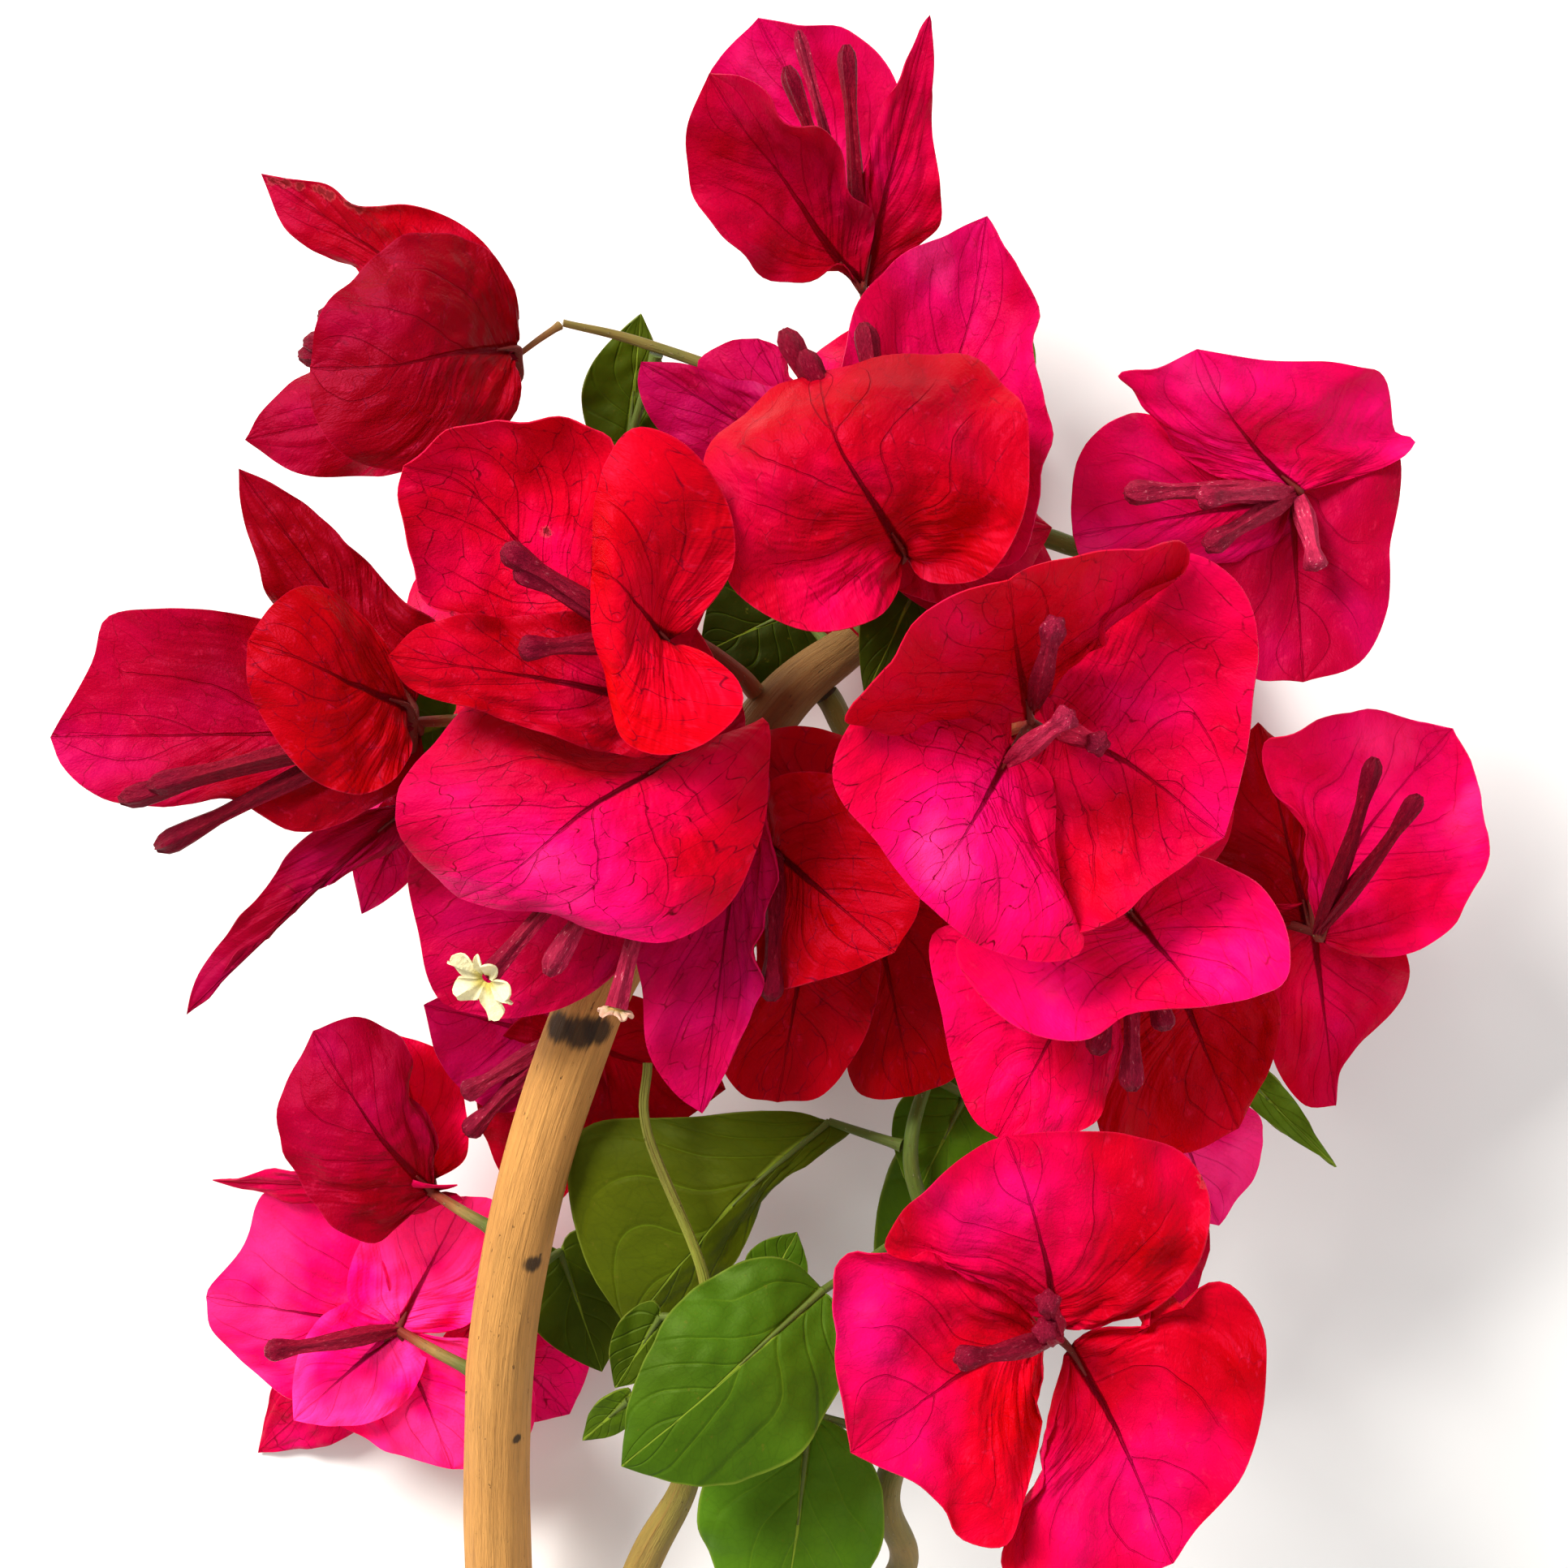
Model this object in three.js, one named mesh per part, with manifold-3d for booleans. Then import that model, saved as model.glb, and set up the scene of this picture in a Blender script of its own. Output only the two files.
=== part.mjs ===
// A cut flowering branch of bougainvillea. It lies on its back on a level surface, so that the side
// its blooms face is up. Millimetres, +Z up, +Y along the branch from the cut end to the top bloom.
// Each bloom is three papery bracts round slim flower tubes, on a stalk that reaches back to its twig.

import * as THREE from 'three';
import Module from 'manifold-3d';

// Driving sizes
const BRACT_THICKNESS = 0.7;
const LEAF_THICKNESS = 0.8;
const STALK_RADIUS = 1.1;        // at its foot
const STALK_TAPER = 0.85;        // its far end, as a share of its foot
const RIB_TAPER = 0.5;
const RIB_REACH = [0.04, 0.25];  // shares of the midrib where a bract's rib meets it and where it ends
const JOIN_RADIUS = 2.2;         // the small swelling where the bracts of a bloom meet
const JOIN_TAPER = 0.4;          // its two ends, as a share of its middle
const TUBE_RADIUS = 1.2;         // a flower tube at its swollen foot
const BUD_PROFILE = [0.6, 1, 0.8, 1.3];     // radii from the foot to the head, as shares of that
const OPEN_PROFILE = [0.6, 1, 1, 3];
const TUBE_BOW = 0.08;           // how far a flower tube bows up, as a share of its length
const LOBE_PLACE = 0.62;         // how far out from the midrib a heart's lobes reach furthest back
const LOBE_FADE = 2.5;           // how soon the drawing back fades towards the tip
const CLEARANCE = 0.3;           // between a stalk and the twig that carries it
const SEARCH_STEPS = 200;        // places tried along a limb for the one nearest to a stalk
const FINE_BLADE = { steps: 5, strips: 4 };      // rows along a bract or leaf, and strips across it
const ROUGH_BLADE = { steps: 3, strips: 2 };     // for the small ones and those that lie underneath
const TUBE_SIDES = 3;
const STALK_SIDES = 4;
const TWIG_SIDES = 6;
const BOUGH_SIDES = 8;
const TWIG_STEPS = 2;            // between two points of its path
const BOUGH_STEPS = 3;

// Places are given as they look from above: x and y on the middle level, as seen from the view point,
// and z as the true height. A place above the middle level therefore lies nearer the line of sight.
const VIEW_DISTANCE = 420;       // from the view point down to the middle level
const MIDDLE_LEVEL = 60;
const ORIGIN = [1.78, -31.49, 0.24];    // the branch's bottom centre, in the same frame

function seen([x, y, z]) {
  const nearness = (VIEW_DISTANCE - (z - MIDDLE_LEVEL)) / VIEW_DISTANCE;
  return new THREE.Vector3(x * nearness, y * nearness, z);
}

// Stems and twigs: points from the lower end to the tip, and the radius at each. One with a carrier
// starts just clear of that limb's bark, beside its own first point.
const STEMS = {
  main_stem: {
    points: [[-41, -160, 6.5], [-44, -121, 20], [-42.5, -79, 42], [-31, -37, 58], [-15, -9, 57],
      [-1, 12, 53], [11, 22, 50]],
    radii: [6.5, 6.1, 5.8, 5.5, 5, 4.4, 3.2],
    material: 'bark',
  },
  second_stem: {
    carrier: 'main_stem',
    points: [[-33, -149, 11], [-22, -121, 30], [-15, -107, 42], [-12, -90, 56], [-12.5, -75.5, 60],
      [-21, -54, 62], [-21, -43, 60]],
    radii: [3.6, 3.4, 2.8, 2.2, 1.3, 0.9, 0.7, 0.7],
    material: 'bark',
  },
  third_stem: {
    carrier: 'second_stem',
    points: [[-20, -142, 16], [4, -136, 20], [18, -121, 34], [16, -108, 46], [26, -82, 50], [19.5, -58, 56],
      [24, -40, 50]],
    radii: [2.8, 2.8, 2.6, 2.4, 2.2, 1.7, 1.4, 1],
    material: 'green_stem',
  },
  twig_top: {
    carrier: 'main_stem',
    points: [[15, 28, 54], [18, 36, 60], [20, 52, 62], [14, 70, 57]],
    radii: [2.2, 2.1, 1.9, 1.5, 1.1],
    material: 'green_stem',
  },
  twig_upper_left: {
    carrier: 'twig_top',
    points: [[14, 52, 62], [0, 60, 63], [-22, 68, 64], [-34, 71, 67]],
    radii: [1.3, 1.3, 1.1, 1, 0.8],
    material: 'green_stem',
  },
  twig_upper_right: {
    carrier: 'twig_top',
    points: [[24, 34, 58], [38, 38, 58], [47, 36.5, 58], [60, 41, 60], [73, 45, 64]],
    radii: [1.6, 1.6, 1.6, 1.5, 1.2, 1],
    material: 'green_stem',
  },
  twig_right: {
    carrier: 'main_stem',
    points: [[13, 6, 48], [34, 5, 46], [58, -10, 42], [76, -21, 42]],
    radii: [2, 2, 1.7, 1.4, 1.1],
    material: 'green_stem',
  },
  twig_left: {
    carrier: 'main_stem',
    points: [[-20, -3, 59], [-30, 6, 62], [-46, 10, 68]],
    radii: [1.8, 1.8, 1.5, 1.1],
    material: 'green_stem',
  },
  twig_centre: {
    carrier: 'main_stem',
    points: [[-7, 17, 58], [-14, 22, 62], [-21, 24, 68]],
    radii: [1.6, 1.6, 1.3, 1],
    material: 'green_stem',
  },
};

// Blooms. A bract runs from base (the bloom's centre where none is given) to tip, and half is its half
// width to the left and to the right of its midrib, as seen from above. curve arches it, cup hollows it,
// roll turns it about its midrib, heart draws its lobes back round the stalk, and point sharpens its tip.
const BLOOMS = {
  top: {
    carrier: 'twig_top',
    centre: [12, 77, 58],
    bracts: [
      { tip: [-4, 118, 56], half: [16, 18], curve: -25, cup: -25, point: -0.4 },
      { tip: [-11, 109, 80], half: [14, 6], curve: 30, cup: 20, point: -0.3 },
      { tip: [23, 118, 76], half: [9, 15], roll: 50, curve: -15, point: 0.3 },
    ],
    flowers: [{ head: [9.5, 113, 72] }, { head: [2.5, 110, 72] }],
  },
  upper_left: {
    carrier: 'twig_upper_left',
    centre: [-41, 66, 70],
    bracts: [
      { tip: [-73.5, 64, 82], half: [19, 18], curve: 30, cup: 15, point: -0.2 },
      { tip: [-80.5, 94, 62], half: [6, 14], roll: 45, curve: -20, point: 0.3 },
      { tip: [-83, 53, 60], half: [12, 13], roll: -20, curve: 10 },
    ],
    flowers: [{ head: [-72, 72.5, 72] }, { head: [-74.5, 68, 68] }],
  },
  crown: {
    carrier: 'twig_top',
    centre: [18, 34.5, 92],
    bracts: [
      { tip: [5.5, 64, 108], half: [25, 25], curve: 45, cup: 10, heart: 0.4, point: -0.3 },
      { base: [21, 38, 88], tip: [31, 87, 86], half: [18, 15], curve: -20, cup: -10 },
      { base: [12, 44.5, 88], tip: [-22, 64.5, 86], half: [12, 12], roll: 25, curve: 20 },
      { base: [9, 49.5, 84], tip: [-5, 69, 78], half: [8, 8], point: -0.3, rough: true },
    ],
    flowers: [{ head: [2.5, 64.5, 96] }, { head: [0, 69.5, 94] }, { head: [12, 71, 92] }],
  },
  upper_right: {
    carrier: 'twig_upper_right',
    centre: [79, 45, 70],
    bracts: [
      { tip: [51.5, 63, 84], half: [8, 18], heart: 0.35, neck: 0.35, curve: -15 },
      { tip: [44, 41, 78], half: [12, 15], curve: 15, point: -0.5 },
      { tip: [82, 15, 74], half: [16, 13], curve: 10, point: -0.4 },
    ],
    flowers: [{ head: [64, 44, 86] }, { head: [52, 45, 82] }, { head: [67, 38, 84] }],
  },
  centre_left: {
    carrier: 'twig_centre',
    centre: [-21, 22, 98],
    bracts: [
      { base: [-27, 24, 98], tip: [-55, 53, 100], half: [17, 21], curve: -20, cup: -15, point: -0.4 },
      {
        base: [-16, 22, 100], tip: [-30, 31, 114], half: [18, 32],
        roll: -35, curve: 20, heart: 0.35, point: -0.3,
      },
      { base: [-20, 12, 100], tip: [-61, 20, 104], half: [9, 11], roll: 20, curve: -20, cup: -10 },
    ],
    flowers: [{ head: [-43.5, 37, 112] }, { head: [-41, 33, 108] }, { head: [-41, 20.5, 110] }],
  },
  left: {
    carrier: 'twig_left',
    centre: [-57, 9.5, 84],
    bracts: [
      { tip: [-84, 48.5, 84], half: [15, 16], roll: 45, curve: -10, point: 0.1 },
      {
        base: [-59.5, 12, 88], tip: [-79, 22.5, 102], half: [17, 13],
        curve: 30, cup: 10, heart: 0.15, point: -0.3,
      },
      { tip: [-112.5, 9, 84], half: [14, 17], curve: -20, cup: -10, point: -0.6 },
      { base: [-58, 0, 82], tip: [-92, -35.5, 78], half: [11, 14], roll: 55, curve: -10, point: 0.1 },
      { base: [-58, -4, 76], tip: [-65, -20, 70], half: [5, 5], rough: true },
    ],
    flowers: [{ head: [-98, -0.5, 92] }, { head: [-102.5, -2.5, 86] }, { head: [-97, -10, 84] }],
  },
  lower_left: {
    carrier: 'main_stem',
    centre: [-16, 4, 80],
    bracts: [
      { base: [-10, 6, 80], tip: [-58, -11.5, 98], half: [25, 17], curve: 20, cup: 15, point: -0.35 },
      { base: [-5, 7, 80], tip: [-12.5, -51, 80], half: [6, 14], roll: -35, curve: -10 },
      { base: [-21, -4, 76], tip: [-54.5, -34, 74], half: [15, 18], point: -0.6 },
    ],
    flowers: [{ head: [-44.5, -30, 92], open: true }, { head: [-36, -31, 90] }, { head: [-25.5, -39, 90] }],
  },
  middle: {
    carrier: 'main_stem',
    centre: [-1, -7, 74],
    bracts: [
      { tip: [17, -26, 84], half: [15, 18], point: -0.1 },
      { base: [4, -20.5, 70], tip: [-1, -49, 66], half: [13, 13], point: -0.4 },
      { base: [13, -15.5, 68], tip: [20, -48, 62], half: [12, 13], point: -0.5 },
      { tip: [11, 7, 70], half: [12, 12], point: -0.3 },
    ],
    flowers: [{ head: [-2, -33.5, 80] }],
  },
  centre_right: {
    carrier: 'twig_right',
    centre: [38, 9.5, 94],
    bracts: [
      { tip: [28, 32, 124], half: [27, 31], curve: -20, heart: 0.05, point: -0.4 },
      { base: [41, 7.5, 96], tip: [68, -8, 102], half: [36, 24], cup: -10, point: -0.4 },
      { base: [35, 5, 98], tip: [21.5, -18, 108], half: [25, 24], curve: 10, point: -0.3 },
    ],
    flowers: [
      { head: [41.5, 25, 120], open: true },
      { head: [43, 11, 118] },
      { head: [49, 6, 118], open: true },
    ],
  },
  lower_right: {
    carrier: 'twig_right',
    centre: [53, -18, 78],
    bracts: [
      { tip: [66, -34.5, 96], half: [19, 28], curve: 30, cup: 15, heart: 0.2, point: -0.2 },
      { base: [47, -28, 78], tip: [33, -54.5, 82], half: [15, 22], point: -0.3 },
      { base: [59, -27, 76], tip: [70, -53, 72], half: [15, 22], point: -0.4 },
    ],
    flowers: [{ head: [48, -42, 86] }, { head: [53, -47, 86] }, { head: [59, -38.5, 86] }],
  },
  right: {
    carrier: 'twig_right',
    centre: [82, -23, 50],
    bracts: [
      { tip: [103, 8.5, 58], half: [21, 18], curve: -30, cup: -20, point: -0.55 },
      { tip: [73, 9.5, 52], half: [12, 12], point: -0.3 },
      { base: [81, -25.5, 45], tip: [85, -49.5, 40], half: [15, 12], point: -0.4 },
    ],
    flowers: [{ head: [91, 4, 62] }, { head: [98.5, -1.5, 62] }],
  },
  bottom_right: {
    carrier: 'third_stem',
    centre: [42, -85, 84],
    bracts: [
      { tip: [34, -53, 96], half: [23, 28], curve: 20, cup: 10, point: -0.4 },
      { base: [40, -85, 85], tip: [10, -103, 94], half: [20, 25], curve: -20, point: -0.4 },
      {
        base: [44, -87, 85], tip: [60.5, -119, 90], half: [29, 17],
        curve: 20, cup: 10, neck: 0.05, point: -0.5,
      },
    ],
    flowers: [{ head: [40, -79, 104] }, { head: [40, -84, 100] }, { head: [28.5, -88, 104] }],
  },
  low_back: {
    carrier: 'main_stem',
    centre: [-54, -63, 36],
    bracts: [
      { tip: [-73, -37, 40], half: [17, 11], curve: 20, cup: 10, point: -0.3 },
      { tip: [-56, -39, 32], half: [10, 9], point: -0.4 },
      { tip: [-88, -61, 26], half: [5, 5], roll: 40, rough: true },
    ],
    flowers: [],
  },
  low_front: {
    carrier: 'main_stem',
    centre: [-59.5, -84, 24],
    bracts: [
      { tip: [-49, -63.5, 28], half: [11, 13], point: -0.4 },
      { tip: [-89, -79, 22], half: [15, 20], curve: -10, point: -0.6 },
      { tip: [-75.5, -98, 26], half: [10, 10], point: -0.2 },
      { tip: [-51, -105.5, 20], half: [11, 14], point: -0.4 },
    ],
    flowers: [{ head: [-80, -87.5, 36] }],
  },
  low_under: {
    carrier: 'main_stem',
    centre: [-43, -82, 12],
    bracts: [
      { base: [-62, -86, 12], tip: [-81, -103, 0.7], half: [9, 9] },
      { base: [-47, -83, 12], tip: [-33, -97, 6], half: [14, 12], point: -0.4, rough: true },
    ],
    flowers: [],
  },
  stem_side: {
    carrier: 'main_stem',
    centre: [-34.5, -39, 42],
    bracts: [
      { tip: [-55.5, -34, 42], half: [18, 6], point: -0.3 },
      { tip: [-9, -47, 38], half: [10, 13], point: -0.3 },
      { tip: [-38, -67, 32], half: [9, 12], point: -0.2 },
    ],
    flowers: [{ head: [-49.5, -48, 46] }, { head: [-49, -54, 44] }],
  },
  right_back: {
    carrier: 'twig_right',
    centre: [58, -45.5, 44],
    bracts: [
      { tip: [67, -68, 40], half: [14, 12], point: -0.2 },
      { base: [58, -60.5, 36], tip: [58, -87, 34], half: [8, 8], rough: true },
    ],
    flowers: [],
  },
  under_top: {
    carrier: 'twig_top',
    centre: [4, 44, 34],
    bracts: [
      { tip: [-24, 60, 14], half: [15, 16], curve: 20, neck: 0.06, rough: true },
      { tip: [28, 70, 0.5], half: [16, 15], curve: 20, neck: 0.06, rough: true },
      { tip: [14, 20, 12], half: [15, 15], curve: 20, neck: 0.06, rough: true },
    ],
    flowers: [],
  },
  under_left: {
    carrier: 'main_stem',
    centre: [-42, 12, 40],
    bracts: [
      { tip: [-62, 38, 14], half: [15, 16], curve: 20, neck: 0.06, rough: true },
      { tip: [-70, -6, 0.5], half: [16, 15], curve: 20, neck: 0.06, rough: true },
      { tip: [-18, -4, 12], half: [15, 15], curve: 20, neck: 0.06, rough: true },
    ],
    flowers: [],
  },
  under_right: {
    carrier: 'twig_right',
    centre: [50, 4, 32],
    bracts: [
      { tip: [66, 28, 10], half: [15, 15], curve: 20, neck: 0.06, rough: true },
      { tip: [64, -28, 0.5], half: [16, 15], curve: 20, neck: 0.06, rough: true },
      { tip: [22, -8, 10], half: [15, 15], curve: 20, neck: 0.06, rough: true },
    ],
    flowers: [],
  },
};

// Leaves, each on its own stalk
const LEAVES = {
  crown: { carrier: 'twig_upper_left', base: [-24, 52, 54], tip: [-22, 72.5, 58], half: [8, 5] },
  gap: { carrier: 'main_stem', base: [0, 25, 43], tip: [-11, 31, 43], half: [12, 12] },
  behind: { carrier: 'twig_upper_right', base: [19, 21, 68], tip: [27, 39.5, 70], half: [5, 12] },
  big: {
    carrier: 'third_stem', at: 0.87, base: [7, -52, 50], tip: [-24, -84, 46], half: [9, 18],
    curve: 20, point: -0.1,
  },
  front: {
    carrier: 'third_stem', at: 0.8, base: [6, -78, 70], tip: [-25, -105, 74], half: [19, 18], curve: 20,
  },
  bottom: { carrier: 'third_stem', base: [4, -97, 56], tip: [-1, -134, 50], half: [14, 14] },
  mid: { carrier: 'third_stem', base: [28, -48, 50], tip: [20, -64, 50], half: [9, 9] },
  dark: { carrier: 'main_stem', base: [-34.5, -72, 30], tip: [-28, -90.5, 28], half: [9, 9], rough: true },
  small: { carrier: 'second_stem', base: [-19, -82, 58], tip: [-26, -93, 56], half: [5, 5], rough: true },
  curl: { carrier: 'second_stem', base: [-24, -95, 58], tip: [-31, -101, 54], half: [3, 3], rough: true },
  right: {
    carrier: 'twig_right', base: [67, -41, 64], tip: [85, -59, 58], half: [5, 5], point: 0.5, rough: true,
  },
  top: { carrier: 'second_stem', base: [-3, -78, 62], tip: [2, -69, 62], half: [5, 5], rough: true },
  under_crown: { carrier: 'twig_top', base: [24, 52, 46], tip: [34, 78, 30], half: [11, 11], curve: 20 },
  under_middle: { carrier: 'main_stem', base: [-4, -14, 38], tip: [-30, -24, 22], half: [12, 12], curve: 20 },
  under_low: { carrier: 'third_stem', base: [24, -60, 40], tip: [30, -96, 22], half: [13, 13], curve: 20 },
};

const MATERIALS = {
  bract: new THREE.MeshStandardMaterial({ color: 0xc8144f, roughness: 0.6, metalness: 0 }),
  leaf: new THREE.MeshStandardMaterial({ color: 0x3d6a14, roughness: 0.45, metalness: 0 }),
  bark: new THREE.MeshStandardMaterial({ color: 0xb98a55, roughness: 0.75, metalness: 0 }),
  green_stem: new THREE.MeshStandardMaterial({ color: 0x6d7a2e, roughness: 0.6, metalness: 0 }),
};

const wasm = await Module();
wasm.setup();

// A closed solid from its vertices and the triangles between them
function solidFrom(vertices, triangles) {
  const mesh = new wasm.Mesh({
    numProp: 3,
    vertProperties: new Float32Array(vertices.flatMap((vertex) => vertex.toArray())),
    triVerts: new Uint32Array(triangles.flat()),
  });
  return new wasm.Manifold(mesh);
}

function geometryFrom(solid) {
  const mesh = solid.getMesh();
  const geometry = new THREE.BufferGeometry();
  geometry.setAttribute('position', new THREE.BufferAttribute(mesh.vertProperties, 3));
  geometry.setIndex(new THREE.BufferAttribute(mesh.triVerts, 1));
  geometry.computeVertexNormals();
  return geometry;
}

// The heart- or egg-shaped surface of a bract or leaf. u runs from 0 at the base to 1 at the tip, and v
// from -1 at the right edge to 1 at the left edge.
function bladeSurface({
  base, tip, half, curve = 0, cup = 0, roll = 0, heart = 0.12, point = 0, neck = 0.2,
}) {
  const start = seen(base);
  const along = seen(tip).sub(start);
  const reach = along.length();
  along.normalize();
  const level = new THREE.Vector3(0, 0, 1).addScaledVector(along, -along.z).normalize();
  const left = new THREE.Vector3().crossVectors(level, along);
  const turn = THREE.MathUtils.degToRad(roll);
  const face = level.clone().multiplyScalar(Math.cos(turn)).addScaledVector(left, Math.sin(turn));
  const side = left.clone().multiplyScalar(Math.cos(turn)).addScaledVector(level, -Math.sin(turn));
  const arch = THREE.MathUtils.degToRad(curve);
  const hollow = THREE.MathUtils.degToRad(cup);
  const arcLength = arch ? (reach * arch / 2) / Math.sin(arch / 2) : reach;

  const slope = (s) => arch / 2 - arch * s;
  const midrib = (s) => {
    if (!arch) return start.clone().addScaledVector(along, arcLength * s);
    const radius = arcLength / arch;
    return start.clone()
      .addScaledVector(along, radius * (Math.sin(arch / 2) - Math.sin(slope(s))))
      .addScaledVector(face, radius * (Math.cos(slope(s)) - Math.cos(arch / 2)));
  };
  const outward = (s) => face.clone().multiplyScalar(Math.cos(slope(s)))
    .addScaledVector(along, -Math.sin(slope(s)));
  const breadth = (u) => (u < 1 ? Math.sin(Math.PI * (neck + (1 - neck) * u)) ** (1 + point * u) : 0);
  const drawnBack = (u, v) => {
    const lobe = 1 - (1 - Math.abs(v) / LOBE_PLACE) ** 2;
    return u - heart * lobe * (1 - u) ** LOBE_FADE;
  };

  return (u, v) => {
    const s = drawnBack(u, v);
    const widest = v >= 0 ? half[0] : half[1];
    const share = Math.abs(v) * breadth(u);
    let across = widest * share;
    let drop = 0;
    if (hollow) {
      across = (widest / hollow) * Math.sin(hollow * share);
      drop = (widest / hollow) * (1 - Math.cos(hollow * share));
    }
    const normal = outward(s);
    const place = midrib(s).addScaledVector(side, Math.sign(v) * across).addScaledVector(normal, -drop);
    return { place, normal };
  };
}

// A blade of even thickness: two skins on a grid that closes at the tip, and the rim between them
function bladeSolid(shape, thickness) {
  const surface = bladeSurface(shape);
  const { steps, strips } = shape.rough ? ROUGH_BLADE : FINE_BLADE;
  const vertices = [];
  for (const lift of [thickness / 2, -thickness / 2]) {
    for (let i = 0; i < steps; i += 1) {
      for (let j = 0; j <= strips; j += 1) {
        const u = Math.sin((Math.PI / 2) * (i / steps));   // the rows lie closer together towards the tip
        const { place, normal } = surface(u, (2 * j) / strips - 1);
        vertices.push(place.addScaledVector(normal, lift));
      }
    }
    const { place, normal } = surface(1, 0);
    vertices.push(place.addScaledVector(normal, lift));
  }

  const row = strips + 1;
  const skin = steps * row + 1;
  const tipIndex = skin - 1;
  const faces = [];
  for (let j = 0; j < strips; j += 1) {
    for (let i = 0; i < steps - 1; i += 1) {
      const here = i * row + j;
      faces.push([here, here + row, here + row + 1], [here, here + row + 1, here + 1]);
    }
    const last = (steps - 1) * row + j;
    faces.push([last, tipIndex, last + 1]);
  }
  const rim = [];
  for (let i = 0; i < steps; i += 1) rim.push(i * row);
  rim.push(tipIndex);
  for (let i = steps - 1; i >= 0; i -= 1) rim.push(i * row + strips);
  for (let j = strips - 1; j > 0; j -= 1) rim.push(j);

  const triangles = [...faces];
  for (const [a, b, c] of faces) triangles.push([a + skin, c + skin, b + skin]);
  rim.forEach((from, k) => {
    const to = rim[(k + 1) % rim.length];
    triangles.push([from, from + skin, to + skin], [from, to + skin, to]);
  });
  return solidFrom(vertices, triangles);
}

// A smooth limb through its points, with the radius between them
function limb(points, radii) {
  const path = new THREE.CatmullRomCurve3(points, false, 'catmullrom', 0.5);
  const radius = (t) => {
    const at = Math.min(t, 1) * (radii.length - 1);
    const first = Math.min(Math.floor(at), radii.length - 2);
    return THREE.MathUtils.lerp(radii[first], radii[first + 1], at - first);
  };
  return { path, radius };
}

// A limb's solid, with a flat cut at each end
function limbSolid({ path, radius }, steps, sides) {
  const { normals, binormals } = path.computeFrenetFrames(steps, false);
  const vertices = [];
  for (let i = 0; i <= steps; i += 1) {
    const centre = path.getPointAt(i / steps);
    const size = radius(path.getUtoTmapping(i / steps));
    for (let k = 0; k < sides; k += 1) {
      const angle = (2 * Math.PI * k) / sides;
      vertices.push(centre.clone()
        .addScaledVector(normals[i], size * Math.cos(angle))
        .addScaledVector(binormals[i], size * Math.sin(angle)));
    }
  }
  const triangles = [];
  for (let i = 0; i < steps; i += 1) {
    for (let k = 0; k < sides; k += 1) {
      const a = i * sides + k;
      const b = i * sides + ((k + 1) % sides);
      triangles.push([a, b, b + sides], [a, b + sides, a + sides]);
    }
  }
  const end = steps * sides;
  for (let k = 1; k < sides - 1; k += 1) {
    triangles.push([0, k + 1, k], [end, end + k, end + k + 1]);
  }
  return solidFrom(vertices, triangles);
}

// The place along a limb whose bark is nearest to a point
function nearestAlong({ path, radius }, from) {
  let nearest = 0;
  let least = Infinity;
  for (let i = 0; i <= SEARCH_STEPS; i += 1) {
    const t = i / SEARCH_STEPS;
    const gap = path.getPoint(t).distanceTo(from) - radius(t);
    if (gap < least) [nearest, least] = [t, gap];
  }
  return nearest;
}

// Where something that leads to a point starts on its carrier: just clear of the bark, or of the flat
// tip, which lies closer the more directly it is faced
function footOn(carrier, from, at = nearestAlong(carrier, from)) {
  const axis = carrier.path.getPoint(at);
  const away = from.clone().sub(axis).normalize();
  const facing = at === 1 ? Math.sin(carrier.path.getTangent(1).angleTo(away)) : 1;
  return axis.addScaledVector(away, carrier.radius(at) * facing + CLEARANCE);
}

// A straight stalk from a bloom or leaf back to its carrier
function stalkSolid(from, carrier, at) {
  const foot = footOn(carrier, from, at);
  return limbSolid(limb([foot, from], [STALK_RADIUS, STALK_RADIUS * STALK_TAPER]), 1, STALK_SIDES);
}

// A slim flower tube that rises from the bloom's centre to its head, closed in bud or flared open
function flowerSolid(centre, { head, open = false }) {
  const top = seen(head);
  const middle = centre.clone().lerp(top, 0.5);
  middle.z += TUBE_BOW * centre.distanceTo(top);
  const radii = (open ? OPEN_PROFILE : BUD_PROFILE).map((share) => share * TUBE_RADIUS);
  return limbSolid(limb([centre, middle, top], radii), radii.length - 1, TUBE_SIDES);
}

// The swelling at a bloom's centre, and the rib that leads from it into a bract with a base of its own
function joinSolid(centre) {
  const [low, high] = [-1, 1].map((sign) => centre.clone().add(new THREE.Vector3(0, 0, sign * JOIN_RADIUS)));
  const radii = [JOIN_RADIUS * JOIN_TAPER, JOIN_RADIUS, JOIN_RADIUS * JOIN_TAPER];
  return limbSolid(limb([low, centre, high], radii), 2, STALK_SIDES);
}

function ribSolid(centre, shape) {
  const surface = bladeSurface(shape);
  const points = [centre, ...RIB_REACH.map((u) => surface(u, 0).place)];
  const radii = [STALK_RADIUS, STALK_RADIUS, STALK_RADIUS * RIB_TAPER];
  return limbSolid(limb(points, radii), points.length - 1, TUBE_SIDES);
}

// One body from several that meet. A loose scrap is dropped.
function fuse(solids) {
  const whole = wasm.Manifold.union(solids);
  const pieces = whole.decompose();
  return pieces.sort((a, b) => b.volume() - a.volume())[0];
}

const group = new THREE.Group();
group.position.set(-ORIGIN[0], -ORIGIN[1], -ORIGIN[2]);

function addNode(name, solid, material) {
  const mesh = new THREE.Mesh(geometryFrom(solid), MATERIALS[material]);
  mesh.name = name;
  group.add(mesh);
}

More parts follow.
